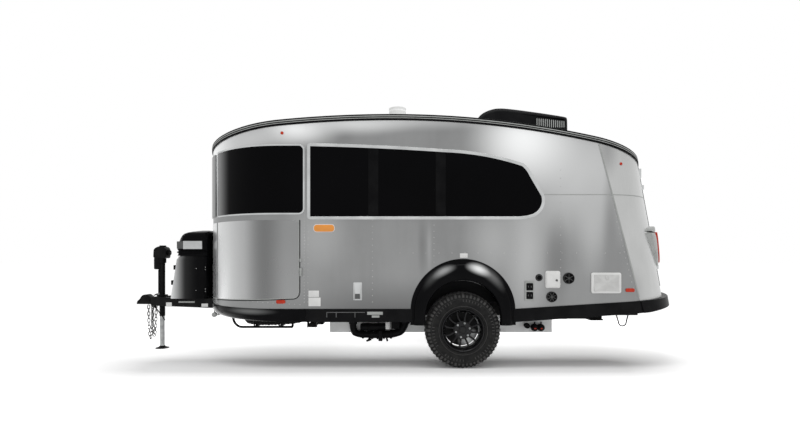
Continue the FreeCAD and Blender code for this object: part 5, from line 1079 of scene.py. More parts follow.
def bottleLidPart():
    levels = [(1.135, -2.445, -2.096, 0.008), (1.140, -2.452, -2.092, 0.0), (1.152, -2.452, -2.092, 0.0),
              (1.157, -2.442, -2.094, 0.010), (1.164, -2.440, -2.094, 0.012), (1.170, -2.448, -2.092, 0.002),
              (1.200, -2.444, -2.092, 0.0), (1.250, -2.432, -2.092, 0.0), (1.300, -2.414, -2.092, 0.003),
              (1.335, -2.396, -2.092, 0.010), (1.356, -2.376, -2.092, 0.022), (1.372, -2.340, -2.092, 0.044),
              (1.380, -2.300, -2.094, 0.075)]
    crown = [(1.380, -2.300, -2.094, 0.075), (1.388, -2.250, -2.104, 0.105), (1.396, -2.200, -2.114, 0.135)]
    lip = [(1.105, -2.452, -2.094, 0.010), (1.110, -2.446, -2.094, 0.010), (1.136, -2.440, -2.096, 0.014)]
    return joined([stackedShell(rows, cover["half"], corner) for rows, corner in
                   ((levels, 0.075), (crown, 0.05), (lip, 0.075))])


piece("bottle_base_shell", bottleBasePart(), "bottle_cover", "black_plastic", ["bottle_cover"],
      finish="highlit_cover_black", sharp=40)
piece("bottle_lid_shell", bottleLidPart(), "bottle_lid", "black_plastic", ["bottle_lid"], finish="gloss_black",
      sharp=40)
brackets = [blockAt(coverFront(z), z, 0.016, 0.020, 0.026, 0.026, -0.31, -0.24, 0.004)
            for z in (fromPhoto(171, row, -0.31)[1] for row in (267.4, 282.6))]
piece("cover_brackets", joined(brackets + [mirrored(bracket) for bracket in brackets]), "bottle_cover", "black_plastic")
x0, z0, x1, z1 = photoRect((183, 241), (202, 249), -0.352)
darkEnd = fromPhoto(176.8, 245, -0.352)[0]
piece("lid_plate_end", softBox((darkEnd, -0.3532, z0 + 0.004), (x0 - 0.004, -0.3485, z1 - 0.004), 0.0015),
      "bottle_lid", "white_plastic", finish="grey_plastic")
piece("cover_screws", coverHeads(cover["screws"], 0.0045, 0.0005), "bottle_cover", "black_plastic",
      finish="rivet_steel")
piece("lid_plate", softBox((x0, -0.3535, z0), (x1, -0.3485, z1), 0.0015), "bottle_lid", "white_plastic",
      finish="pale_steel")
print("bottle cover built")


# Conditioner: its side outline closed into a shell whose edges draw in on a quarter circle

conditioner = {"half": 0.350, "edge": 0.055, "base": 2.42, "fins": 14, "finsFrom": 1.612, "finStep": 0.0233,
               "finLow": 2.548, "finTall": 0.104, "finFall": 0.0025}


def conditionerPart():
    outline = [(0.958, conditioner["base"]), (0.956, 2.640), (0.966, 2.668), (0.990, 2.700), (1.030, 2.730),
               (1.090, 2.757), (1.160, 2.776), (1.240, 2.779), (1.350, 2.769), (1.500, 2.750), (1.700, 2.722),
               (1.880, 2.694), (1.950, 2.682), (1.972, 2.672), (1.981, 2.650), (1.983, conditioner["base"])]
    line = calmed(evened(outline, 76), 3)
    travel = np.gradient(line, axis=0)
    inward = np.stack([travel[:, 1], -travel[:, 0]], 1)
    inward /= np.linalg.norm(inward, axis=1, keepdims=True)
    edge, half = conditioner["edge"], conditioner["half"]
    quarter = np.linspace(0, np.pi / 2, 7)
    across = np.concatenate([-half + edge * (1 - np.cos(quarter)), half - edge * (1 - np.cos(quarter[::-1]))])
    inset = np.concatenate([edge * (1 - np.sin(quarter)), edge * (1 - np.sin(quarter[::-1]))])
    rings = []
    for y, drop in zip(across, inset):
        ring = line + inward * drop
        rings.append(np.column_stack([ring[:, 0], np.full(len(ring), y), ring[:, 1]]))
    return gridPart(rings)


piece("conditioner_shell", conditionerPart(), "air_conditioner", "black_plastic", ["air_conditioner"], sharp=50)

# upright fins on each side face, each a little lower than the one before it
finSpots = [(conditioner["finsFrom"] + (i + 0.5) * conditioner["finStep"],
             conditioner["finTall"] - conditioner["finFall"] * i) for i in range(conditioner["fins"])]
fins = [blockAt(x, conditioner["finLow"], 0.0045, 0.0045, 0, tall, face - 0.004, face + 0.004, 0.0015, 1)
        for face in (-conditioner["half"], conditioner["half"]) for x, tall in finSpots]
piece("conditioner_fins", joined(fins), "air_conditioner", "black_plastic", finish="lamp_grey")
capPlace = (0.056, -0.750, 0)
capRows = [(2.495, 0.001), (2.495, 0.086), (2.588, 0.084), (2.592, 0.088), (2.606, 0.088), (2.620, 0.080),
           (2.628, 0.060), (2.6305, 0.001)]
piece("roof_cap", turnedPart(capRows, capPlace, steps=64, axis="z"), "roof_vents", "white_plastic",
      finish="cap_white", sharp=40)
print("roof built")


# Spare wheel flat under the nose, from the same tyre laid down

spare = {"place": (-1.400, 0, 0.4205), "shares": (0.98, 0.87, 0.98)}


def laidDown(part):
    middle = tyreCentre - (0, tyre["outerFace"] - tyre["width"] / 2, 0)
    points = (np.asarray(part[0]) - middle) * spare["shares"]
    return points[:, (0, 2, 1)] + spare["place"], [tuple(face)[::-1] for face in part[1]]


spareDisc = [(0.375, 0.002), (0.375, 0.080), (0.350, 0.110), (0.350, 0.185), (0.325, 0.208), (0.325, 0.212),
             (0.520, 0.212), (0.520, 0.204), (0.365, 0.178), (0.365, 0.118), (0.390, 0.088), (0.390, 0.002)]
piece("spare_tyre", laidDown(joined([tyreCarcass(), tyreTread()])), "spare_wheel", "tyre_rubber", ["spare_wheel"],
      sharp=40)
piece("spare_disc", turnedPart(spareDisc, (spare["place"][0], 0, 0), steps=72, axis="z"), "spare_wheel",
      "black_steel")

carrier = {"bar": 0.013, "near": 0.34, "front": -1.800, "rear": -1.120, "low": 0.303, "high": 0.500,
           "across": (-1.56, -1.28), "hanger": (0.60, 0.30), "bend": (0.10, 0.12), "rearBend": (0.012, 0.02)}


def carrierPart():
    # two bent bars fore and aft, two straight ones across under the tyre, and hangers up to the rails
    low, high, front, rear, near = (carrier[key] for key in ("low", "high", "front", "rear", "near"))
    (along, up), (rearAlong, rearUp) = carrier["bend"], carrier["rearBend"]
    turns = np.linspace(0, np.pi / 2, 10)
    line = [(front, high), (front, low + up)]
    line += [(front + along * (1 - math.cos(a)), low + up - up * math.sin(a)) for a in turns]
    line += [(rear - rearUp, low)]
    line += [(rear - rearUp + rearAlong * math.sin(a), low + rearUp * (1 - math.cos(a))) for a in turns]
    line = np.array(line + [(rear, high)])
    line = line[np.concatenate([[True], np.hypot(*np.diff(line, axis=0).T) > 1e-5])]
    parts = []
    for y in (-near, near):
        parts.append(tubePart(np.insert(line, 1, y, axis=1), carrier["bar"]))
        parts += [rodPart((x, y, low), (x, y, low + 0.075), 0.008, sides=12) for x in carrier["across"]]
        hanger = [(rear, math.copysign(reach, y), high) for reach in carrier["hanger"]]
        parts.append(rodPart(*hanger, carrier["bar"], sides=12))
    parts += [rodPart((x, -near, z), (x, near, z), carrier["bar"], sides=12)
              for x, z in (*((x, low) for x in carrier["across"]), (front, high))]
    return joined(parts)


piece("carrier_bars", carrierPart(), "spare_carrier", "black_steel", ["spare_carrier"])


# Rear hoop: a bent rod with a round foot

hoop = {"foot": (2.751, 0.310), "footRadius": 0.046, "rod": 0.007,
        "front": ((2.640, 0.560), (2.655, 0.470)), "back": ((2.838, 0.470), (2.846, 0.560))}


def hoopPart():
    t = np.linspace(0, np.pi, 24)
    foot = np.array(hoop["foot"]) - hoop["footRadius"] * np.stack([np.cos(t), np.sin(t)], 1)
    path = evened(np.concatenate([hoop["front"], foot, hoop["back"]]), 90)
    return joined([tubePart(np.insert(path, 1, 0.0, axis=1), hoop["rod"]),
                   softBox((2.618, -0.058, 0.552), (2.835, 0.058, 0.564), 0.003)])


piece("hoop_rod", hoopPart(), "rear_hoop", "black_steel", ["rear_hoop"])
print("underside pieces built")


# Tail lamps: a grey housing with a pointed foot and a red lens along its outer edge

tailLamp = {"inner": 0.590, "edge": 0.655, "outer": 0.865, "low": 1.000, "high": 1.415, "proud": 0.016,
            "standOut": 0.10, "footRise": 0.030, "hoodTall": 0.068, "hoodDrop": 0.035}


def tailSurface(y, z, offset):
    # the X of the rear's skin at a place across and up
    turns = np.linspace(-np.pi / 2, np.pi / 2, 721)
    curve = tailAt(turns, 0.0, offset)
    return np.interp(y, curve[:, 1], curve[:, 0]) - math.tan(plan["lean"]) * z


def tailPatch(across, up, offset, domeRise=0.0, thick=0.02):
    # a patch over the rear's skin that swells towards its middle and stands out further towards its top
    u = np.linspace(-1, 1, across.shape[0])[:, None]
    v = np.linspace(-1, 1, across.shape[1])
    swell = domeRise * (1 - np.abs(u) ** 4) * (1 - np.abs(v) ** 4)
    stand = tailLamp["standOut"] * np.clip(up - tailLamp["low"], 0, None)
    front = np.stack([tailSurface(across, up, offset) + swell + stand, across, up], -1)
    back = np.stack([tailSurface(across, up, offset - thick), across, up], -1)
    return slabPart(front, back)


wallY = -plan["halfWidth"]


def lampGrid(inner, outer, low, high, drawnIn):
    # places on the lamp: towards its foot the outer side is drawn in, and the foot rises outwards
    a = np.linspace(0, 1, 22)[:, None]
    b = np.linspace(0, 1, 26)[None]
    reach = outer - drawnIn * (1 - b) ** 1.3
    return inner + a * (reach - inner), low + b * (high - low) + 0 * a + tailLamp["footRise"] * (1 - b) * a ** 3


low, high, edge, outer, proud = (tailLamp[key] for key in ("low", "high", "edge", "outer", "proud"))
housingGrid = lampGrid(edge + 0.006, outer, low, high - 0.075, 0.125)
hoodTall = tailLamp["hoodTall"]
hoodY, hoodZ = lampGrid(edge + 0.004, outer - 0.008, high - hoodTall, high, -0.02)
hoodZ -= tailLamp["hoodDrop"] * ((hoodY - edge) / 0.2) ** 2 * (hoodZ - high + hoodTall) / hoodTall
lampHood = tailPatch(hoodY, hoodZ, proud - 0.004, 0.010, 0.018)
lampHousing = joined([tailPatch(*housingGrid, proud, 0.014, 0.024), lampHood])
lampLens = tailPatch(*lampGrid(tailLamp["inner"], edge, low + 0.03, high - 0.06, 0.0), proud + 0.024, 0.008, 0.048)
for name, turnBack, replaced in (("near", mirrored, ["tail_lamps"]), ("far", unturned, [])):
    piece("tail_lamp_" + name, turnBack(lampHousing), "tail_lamps", "lamp_red", replaced, finish="lamp_grey")
    piece("tail_lens_" + name, turnBack(lampLens), "tail_lamps", "lamp_red")


def sideOfTail(z):
    # how far out the side is behind the corner's start, along X at one height
    curve = tailAt(np.linspace(np.pi / 2, 0.4, 200), z, 0.0)
    order = np.argsort(curve[:, 0])
    return curve[order, 0], curve[order, 1]


def sideDepth(x, z):
    # how far out the wall stands at a place, straight or round a corner
    if x < plan["noseStart"]:
        curve = noseAt(np.linspace(0, np.pi / 2, 181), z)
        return float(np.interp(x, curve[:, 0], curve[:, 1]))
    curve = sideOfTail(z)
    return float(np.interp(x, *curve)) if x > curve[0][0] else plan["halfWidth"]


def markerPart():
    # small round and long oval markers on the near side
    parts = []
    for c, r, lean in ((282, 133, 0), (623, 163, 0.25)):
        x, z = fromPhoto(c, r, wallY)
        depth = sideDepth(x, z) if x > 2 else plan["halfWidth"]
        parts.append(dome((x, -depth, z), 0.017, 0.010, (lean, -1, 0), 20))
    for c, r, long in ((280.8, 301.8, 0.090), (630, 290.2, 0.088)):
        x, z = fromPhoto(c, r, wallY)
        depth = sideDepth(x, z) if x > 2 else plan["halfWidth"]
        outline = rectOutline(x - long / 2, z - 0.018, x + long / 2, z + 0.018, 0.017)
        parts.append(plate(outline, 0.012 - depth, -0.012 - depth, 0.004, 3))
    return joined(parts)


markers = markerPart()
piece("side_markers", joined([markers, mirrored(markers)]), "tail_lamps", "lamp_red")
print("lamps built")


# Fittings on the photographed wall, each placed by its own pixels

def wallPlate(first, last, proud, radius, bevel=0.002, back=0.004):
    # a plate with round corners standing proud of the wall, between two photo pixels
    return plate(rectOutline(*photoRect(first, last, wallY), radius), wallY + back, wallY - proud, bevel)


def ringPart(centre, rows, steps=48):
    # a turned ring about a line out of the wall: rows are (distance out, radius)
    return turnedPart([(wallY - out, radius) for out, radius in rows], (centre[0], 0, centre[1]), steps=steps)


def wallGrid(first, last, u, v, depth, back):
    # a slab on the wall between two photo pixels: u and v run from less than zero to one, and depth is its relief
    x0, z0, x1, z1 = photoRect(first, last, wallY)
    x, z = (x0 + x1) / 2 + u * (x1 - x0) / 2, (z0 + z1) / 2 + v * (z1 - z0) / 2
    return slabPart(np.stack([x, wallY - depth, z], -1), np.stack([x, np.full_like(x, wallY - back), z], -1))


# the access lid is pressed inwards along both diagonals: its depth follows the larger share across or up
u, v = np.meshgrid(np.linspace(-1, 1, 33), np.linspace(-1, 1, 33), indexing="ij")
coverLid = wallGrid((593.6, 274.8), (618.2, 291.2), u, v, 0.026 - 0.012 * np.abs(np.abs(u) - np.abs(v)), 0.010)
thumbX, thumbZ = fromPhoto(606.2, 277.4, wallY)
thumbOutline = rectOutline(thumbX - 0.012, thumbZ - 0.017, thumbX + 0.012, thumbZ + 0.017, 0.012)
piece("access_frame", wallPlate((591.0, 272.6), (620.8, 293.2), 0.014, 0.022, 0.004), "wall_inlets", "white_plastic")
piece("access_cover", joined([coverLid, plate(thumbOutline, wallY - 0.016, wallY - 0.028)]), "access_lid",
      "white_plastic", ["access_lid"], finish="hatch_white", sharp=12)
hatchX, hatchZ = fromPhoto(556, 280.2, wallY)
piece("filler_cover", wallPlate((546.2, 271.8), (559.2, 287.2), 0.020, 0.018, 0.006, -0.010), "inlet_lid",
      "white_plastic", ["inlet_lid"])
piece("filler_frame", wallPlate((545.3, 270.9), (560.1, 288.0), 0.009, 0.022, 0.003), "wall_inlets", "white_plastic")
latch = [dome((hatchX, wallY - 0.019, hatchZ), 0.012, 0.006, sides=20),
         blockAt(hatchX, hatchZ, 0.002, 0.010, 0.010, 0.004, wallY - 0.028, wallY - 0.020, 0.002)]
piece("filler_latch", joined(latch), "inlet_lid", "white_plastic", finish="grey_plastic")


def roundInlets():
    # dark rings, each with bright spokes, a bright hub ring and a bright rim
    dark, bright = [], []
    for c, r, radius, spokes in ((568.7, 278.3, 0.056, 6), (551.7, 296.9, 0.053, 8)):
        centre = fromPhoto(c, r, wallY)
        dark.append(ringPart(centre, [(-0.004, 0.001), (0.004, 0.001), (0.006, radius * 0.35), (0.003, radius * 0.5),
                                      (0.003, radius * 0.72), (0.012, radius * 0.80), (0.013, radius * 0.97),
                                      (0.006, radius), (-0.004, radius)]))
        for turn in aroundTurn(spokes) + math.pi / spokes:
            ends = [(centre[0] + radius * share * math.cos(turn), wallY - 0.008,
                     centre[1] + radius * share * math.sin(turn)) for share in (0.28, 0.78)]
            bright.append(rodPart(*ends, 0.0035, sides=8))
        bright.append(ringPart(centre, [(0.004, 0.002), (0.010, 0.002), (0.012, radius * 0.22),
                                        (0.004, radius * 0.26)], 24))
        bright.append(ringPart(centre, [(0.008, radius * 0.88), (0.0145, radius * 0.90), (0.0145, radius * 0.95),
                                        (0.008, radius * 0.97)]))
    return joined(dark), joined(bright)


darkInlets, brightInlets = roundInlets()
lock = fromPhoto(539.0, 277.6, wallY)
lockRing = ringPart(lock, [(-0.004, 0.001), (0.008, 0.001), (0.010, 0.020), (0.006, 0.034), (-0.004, 0.036)])
lockFace = ringPart(lock, [(0.006, 0.022), (0.012, 0.024), (0.012, 0.028), (0.006, 0.030)])
piece("inlet_rings", joined([darkInlets, lockRing]), "wall_inlets", "black_plastic", ["wall_inlets"],
      finish="dark_trim")
piece("inlet_faces", joined([brightInlets, lockFace]), "wall_inlets", "zinc_steel", finish="dark_zinc")

# the socket plate: two wells, each with two slots
socketPins = [blockAt(*fromPhoto(c, r, wallY), 0.003, 0.003, 0.009, 0.009, wallY - 0.018, wallY - 0.012, 0.001, 1)
              for r in (286.6, 295.4) for c in (528.0, 530.8)]
socketWells = [wallPlate((526.0, top), (532.8, foot), 0.015, 0.010) for top, foot in ((283.0, 290.4), (291.8, 299.0))]
piece("socket_plate", wallPlate((524.7, 281.0), (534.0, 300.7), 0.012, 0.008, 0.003), "wall_inlets", "zinc_steel",
      finish="lamp_grey")
piece("socket_wells", joined(socketWells), "wall_inlets", "black_plastic", finish="dark_trim")
piece("socket_slots", joined(socketPins), "wall_inlets", "black_plastic", finish="grey_plastic")

# a small hood whose face bulges and opens downwards
u, v = np.meshgrid(np.linspace(-1, 1, 17), np.linspace(0, 1, 25), indexing="ij")
bulge = 0.030 * (1 - np.abs(u) ** 3) ** 0.5 * (1 - v ** 5) * (0.72 + 0.28 * np.cos(v * np.pi))
hood = wallGrid((354.0, 283.0), (361.4, 299.6), u, 2 * v - 1, 0.003 + bulge, -0.002)
x0, z0, x1, z1 = photoRect((355.2, 293.6), (360.2, 298.8), wallY)
piece("hood_mouth", softBox((x0, wallY - 0.034, z0), (x1, wallY - 0.004, z1)), "wall_inlets", "black_plastic",
      finish="grey_plastic")
piece("wall_hood", joined([hood, wallPlate((353.4, 282.4), (362.0, 300.2), 0.005, 0.008)]), "wall_inlets",
      "white_plastic", finish="pale_steel")
labels = [wallPlate(first, last, 0.0015, radius, 0.0005, 0.001) for first, last, radius in
          (((308.5, 290.6), (319.0, 297.0), 0.004), ((308.5, 297.6), (320.6, 306.2), 0.004),
           ((460.0, 253.4), (467.6, 257.8), 0.003))]
piece("blank_labels", joined(labels), "side_wall_left", "white_plastic")
print("wall fittings built")


# Rivets, seams and the orange plate's rim

def rivetRow(start, end, step):
    # evenly spaced places between two photo pixels
    count = max(2, int(round(math.hypot(end[0] - start[0], end[1] - start[1]) / step)) + 1)
    return photoLine(np.linspace(start, end, count), wallY)


rivets = {
    "radius": 0.0050, "rise": 0.0028,
    # rows as (start, end, step) in photo pixels
    "rows": (((400, 253), (504, 253), 13.6), ((533, 253), (620, 253), 13.7), ((560.6, 170), (560.6, 284), 8.2),
             ((304.3, 141), (304.3, 302), 3.2), ((308.0, 219), (308.0, 302), 6.5), ((372.4, 220), (372.4, 302), 6.4),
             ((434.0, 219), (434.0, 262), 6.4), ((617.0, 222), (633.5, 288), 6.0), ((602.5, 152), (616.4, 216), 6.4),
             ((545, 194.8), (601, 194.8), 8.0), ((516.0, 222), (516.0, 262), 7.5), ((230, 300.6), (300, 304.6), 5.2)),
    "farRows": (((560.6, 170), (560.6, 284), 8.2), ((304.3, 141), (304.3, 219), 3.2),
                ((617.0, 222), (633.5, 288), 6.0), ((602.5, 152), (616.4, 216), 6.4), ((533, 253), (620, 253), 13.7)),
}


def rivetPart(rows, sign):
    return joined([dome((x, sign * sideDepth(x, z), z), rivets["radius"], rivets["rise"], (0, sign, 0), 6)
                   for start, end, step in rows for x, z in rivetRow(start, end, step)])


piece("rivets_near", rivetPart(rivets["rows"], -1), "side_wall_left", "polished_trim", finish="rivet_steel", sharp=60)
piece("rivets_far", rivetPart(rivets["farRows"], 1), "side_wall_right", "polished_trim", finish="rivet_steel", sharp=60)


seam = {"height": 1.705, "lift": 0.0012, "from": 1.50, "to": 2.02, "slantFoot": (2.430, 0.73),
        "slantHead": (2.035, 2.20)}


def seamPart():
    # thin lapped seams: the level one behind the windows and round the rear, and the slanting one at the rear panel
    parts = []
    z, lift = seam["height"], seam["lift"]
    (footX, footZ), (headX, headZ) = seam["slantFoot"], seam["slantHead"]
    for sign in (-1, 1):
        tail = tailAt(np.linspace(np.pi / 2, math.atan2(0.56, 0.9), 40) * sign, z, lift)
        run = [(x, sign * (plan["halfWidth"] + lift), z)
               for x in np.linspace(seam["from"], seam["to"], 12) if x < tail[0, 0] - 0.01]
        heights = np.linspace(0.70, 2.20, 40)
        slant = headX + (headZ - heights) * (footX - headX) / (headZ - footZ)
        line = [(x, sign * (sideDepth(x, h) + lift), h) for x, h in zip(slant, heights)]
        for thick, half, path, up in ((0.0012, 0.004, np.concatenate([run, tail]), (0, 0, 1)),
                                      (0.0015, 0.007, line, (1, 0, 0.25))):
            parts.append(carriedPart([(-thick, -half), (thick, -half), (thick, half), (-thick, half)], path, up))
    return joined(parts)


guard = {"rear": -0.910, "low": 0.600, "lowRear": 0.690, "high": 1.455, "corner": 0.060, "front": -1.97,
         "slopeFrom": -3.075}


def guardEdge(inset, lift):
    # along the foot of the guard, round its rear corner and up its rear edge
    slope = (guard["lowRear"] - guard["low"]) / (guard["rear"] - guard["slopeFrom"])
    turns = np.linspace(-np.pi / 2, 0, 10)
    radius = guard["corner"] - inset
    rear, corner = guard["rear"] - inset, guard["rear"] - guard["corner"]
    lead = np.linspace(guard["front"], corner, 40)[:-1]
    x = np.concatenate([lead, corner + radius * np.cos(turns), np.full(12, rear)])
    foot = guard["low"] + slope * (lead - guard["slopeFrom"]) + inset
    centre = guard["low"] + slope * (corner - guard["slopeFrom"]) + guard["corner"]
    z = np.concatenate([foot, centre + radius * np.sin(turns), np.linspace(centre + 0.02, guard["high"], 12)])
    return [np.array([(a, sign * (sideDepth(a, b) + lift), b) for a, b in zip(x, z)]) for sign in (-1, 1)]


# a tube along the guard's edge, and a dark tube just outside it as painted shade for the gap round the guard
for name, inset, lift, radius, slotName, finish in (
        ("guard_edge", 0.0, 0.003, 0.0045, "polished_trim", "lamp_grey"),
        ("guard_gap_shade", -0.009, 0.001, 0.0040, "black_plastic", "dark_trim")):
    edges = [tubePart(path, radius, 8, (0.3, 0, 1)) for path in guardEdge(inset, lift)]
    piece(name, joined(edges), "stone_guards", slotName, finish=finish)
latchX, latchZ = fromPhoto(301.0, 272.0, wallY)
latches = [blockAt(latchX, latchZ, 0.012, 0.010, 0.040, 0.040, -1.040, -1.018, 0.004),
           blockAt(latchX, latchZ + 0.10, 0.012, 0.008, 0, 0.03, -1.036, -1.018, 0.003)]
piece("guard_latch", joined(latches), "side_wall_left", "polished_trim", finish="lamp_grey")


# the seal's place across, ends and radius, and each block's (height, length)
hatch = {"sealY": 0.575, "sealLow": 0.78, "sealHigh": 2.10, "sealRadius": 0.010, "blockY": (0.588, 0.60, 0.625),
         "blocks": ((1.985, 0.10), (1.835, 0.05), (1.120, 0.05), (0.985, 0.05))}


def hatchTrim():
    # a dark seal down the near side of the hatch, with hinge and latch blocks by it
    sealY, (inner, middle, outer) = hatch["sealY"], hatch["blockY"]
    path = [(tailSurface(sealY, z, 0.0) + 0.004, -sealY, z)
            for z in np.linspace(hatch["sealLow"], hatch["sealHigh"], 30)]
    blocks = []
    for z, tall in hatch["blocks"]:
        x = float(tailSurface(middle, z, 0.0))
        blocks.append(blockAt(x, z, 0.012, 0.020, tall / 2, tall / 2, -outer, -inner, 0.005))
    return tubePart(path, hatch["sealRadius"], 10), joined(blocks)


hatchSeal, hatchBlocks = hatchTrim()
piece("hatch_seals", joined([hatchSeal, mirrored(hatchSeal)]), "rear_wall", "black_plastic", finish="dark_trim")
piece("hatch_blocks", joined([hatchBlocks, mirrored(hatchBlocks)]), "rear_wall", "polished_trim")
piece("seams", seamPart(), "rear_wall", "polished_trim", finish="lamp_grey")


def badgePlate(inset, back, front, bevel):
    x0, z0, x1, z1 = photoRect((313.4, 224.2), (334.8, 232.2), wallY)
    x0, z0, x1, z1 = x0 + inset, z0 + inset, x1 - inset, z1 - inset
    return plate(rectOutline(x0, z0, x1, z1, (z1 - z0) * 0.49, 8), wallY - back, wallY - front, bevel)


piece("badge_rim", badgePlate(0.0, 0.0002, 0.0045, 0.001), "badge", "white_plastic")
piece("badge_face", badgePlate(0.005, 0.003, 0.0062, 0.0012), "badge", "orange_plate", ["badge"])
print("rivets and seams built")


# Waste pipes under the near side: bent tubes, a pump, gate valves with levers

drain = {
    "y": -0.655,
    # bends as (spots, radius), collars as (spot, along X or up, radius, length)
    "bends": ((((353, 319), (353, 326), (354.5, 332.5), (361, 334.4), (372, 334.6)), 0.036),
              (((372, 334.6), (392, 334.2), (401, 331.5), (405, 324), (405, 319)), 0.040)),
    "collars": (((353, 322.5), "up", 0.044, 0.03), ((363, 334.5), "along", 0.043, 0.022),
                ((372, 334.6), "along", 0.047, 0.03), ((391, 334.2), "along", 0.047, 0.024),
                ((405, 322), "up", 0.050, 0.03), ((377.5, 334.4), "along", 0.052, 0.016),
                ((384.0, 334.4), "along", 0.052, 0.016)),
    # the gate valve's rod and levers as (from, to, radius)
    "levers": (((374, 331.5), (368.2, 340.0), 0.009), ((366.4, 341.0), (371.4, 339.2), 0.011),
               ((386, 336), (387.5, 341.2), 0.010)),
    "outlets": (((527.2, 325.8), 0.022), ((534.6, 327.6), 0.030), ((541.0, 327.6), 0.030)),
    "valves": (534.6, 541.0), "pumpCollars": (362.5, 369.0, 383.0),
}


def underSpot(column, row, y=drain["y"]):
    x, z = fromPhoto(column, row, y)
    return np.array((x, y, z))


def collar(spot, way, radius, length):
    half = np.array((0, 0, length / 2) if way == "up" else (length / 2, 0, 0))
    return rodPart(underSpot(*spot) - half, underSpot(*spot) + half, radius, 28, 0.003)


def drainPart():
    parts = [tubePart(calmed(evened([underSpot(*spot) for spot in spots], 48), 8), radius, 20)
             for spots, radius in drain["bends"]]
    parts += [collar(*values) for values in drain["collars"]]
    # gate valve: a flat body between flanges, its rod and a lever
    middle = underSpot(380.6, 334.6)
    parts.append(softBox(middle - (0.022, 0.05, 0.062), middle + (0.022, 0.05, 0.050), 0.008))
    parts += [rodPart(underSpot(*start), underSpot(*end), radius, sides=12) for start, end, radius in drain["levers"]]
    # dark box hung by the rail
    a, b = underSpot(391.4, 328.6), underSpot(399.6, 320.4)
    parts.append(softBox((a[0], -0.690, a[2]), (b[0], -0.610, b[2]), 0.006))
    # rear outlets on the tank face
    for pixel, radius in drain["outlets"]:
        spot = underSpot(*pixel, -0.66)
        parts.append(rodPart(spot + (0, 0.07, 0), spot + (0, -0.036, 0), radius, 28, 0.003))
        parts.append(rodPart(spot + (0, 0.02, 0), spot + (0, -0.006, 0), radius * 1.3, 28, 0.003))
    parts += [rodPart(underSpot(c, 329, -0.672), underSpot(c, 321.6, -0.672), 0.008, sides=10) for c in drain["valves"]]
    return joined(parts)


piece("waste_pipes", drainPart(), "drain_pipes", "black_plastic", ["drain_pipes"])
pump = [rodPart(underSpot(360.5, 327.0), underSpot(385.5, 326.6), 0.040, 36, 0.006)]
pump += [collar((c, 327.0), "along", 0.0425, 0.010) for c in drain["pumpCollars"]]
piece("pump_body", joined(pump), "drain_pipes", "black_plastic")
grips = [blockAt(*fromPhoto(c + 0.4, 328.4, -0.70), 0.011, 0.011, 0.006, 0.006, -0.714, -0.698, 0.002)
         for c in drain["valves"]]
piece("valve_grips", joined(grips), "drain_pipes", "black_plastic", finish="lamp_red")
x0, z0, x1, z1 = photoRect((385.6, 321.6), (389.6, 329.2), -0.70)
piece("pump_bracket", softBox((x0, -0.703, z0), (x1, -0.697, z1), 0.001), "drain_pipes", "black_plastic",
      finish="white_plastic")


# Labels and fittings along the tongue rail

rail = {"nose": (-2.860, -0.048), "slope": 0.3068, "half": 0.030, "out": (-0.293, -0.956, 0.0)}


def railSpot(column, row, lift=0.001):
    # where a photo pixel meets the outer face of the near tongue rail
    y = -0.3
    half = rail["half"] / math.cos(math.atan(rail["slope"]))
    for _ in range(8):
        x = fromPhoto(column, row, y)[0]
        y = rail["nose"][1] - (x - rail["nose"][0]) * rail["slope"] - half - lift
    return np.array((x, y, fromPhoto(column, row, y)[1]))


def railPlate(first, last, lift=0.002):
    (c0, r0), (c1, r1) = first, last
    corners = [railSpot(c, r, 0.0) for c, r in ((c0, r1), (c1, r1), (c1, r0), (c0, r0))]
    return gridPart([corners, [corner + np.array(rail["out"]) * lift for corner in corners]])


def railFittings():
    # a small connector and two clips under the rail
    parts = []
    for c, r, size in ((214.6, 314.6, 0.026), (219.0, 314.0, 0.012), (222.0, 313.4, 0.010)):
        spot = railSpot(c, r, -0.03)
        parts.append(rodPart(spot + (0, -0.02, 0), spot + (0, 0.02, 0), size, sides=20))
        parts.append(rodPart(spot, (spot[0], spot[1], 0.53), 0.006, sides=10))
    return joined(parts)


railLabels = [railPlate((166.2, 302.4), (171.8, 306.6)), railPlate((201.6, 303.6), (208.0, 306.8))]
piece("rail_labels", joined(railLabels), "tongue_rail_left", "white_plastic")
piece("rail_strip", railPlate((178.6, 301.2), (194.8, 302.8)), "tongue_rail_left", "zinc_steel", finish="lamp_grey")
piece("rail_fittings", railFittings(), "tongue_rail_left", "white_plastic", finish="lamp_grey")


# Lines and blank plates on the side skirt

skirtY = -plan["halfWidth"] - 0.0125
x0, z0, x1, _ = photoRect((326.5, 312.4), (365.0, 312.4), skirtY)
skirtLines = [softBox((x0, skirtY - 0.002, z0 - 0.0035), (x1, skirtY + 0.004, z0 + 0.0035), 0.001, 1)]
skirtLines += [blockAt(*fromPhoto(c, 315.0, skirtY), 0.004, 0.004, 0.024, 0.024, skirtY - 0.002, skirtY + 0.004,
                       0.001, 1) for c in (326.8, 336.2, 355.0)]
skirtPlates = []
for first, last in (((367.2, 311.8), (382.8, 314.8)), ((371.8, 315.4), (379.4, 317.6))):
    x0, z0, x1, z1 = photoRect(first, last, skirtY)
    skirtPlates.append(softBox((x0, skirtY - 0.0015, z0), (x1, skirtY + 0.004, z1), 0.001, 1))
piece("skirt_lines", joined(skirtLines), "side_skirts", "black_plastic", finish="grey_plastic")
piece("skirt_plates", joined(skirtPlates), "side_skirts", "zinc_steel", finish="lamp_grey")
print("tongue and skirt trim built")


# Everything else keeps its CAD form, with eased edges and its finish

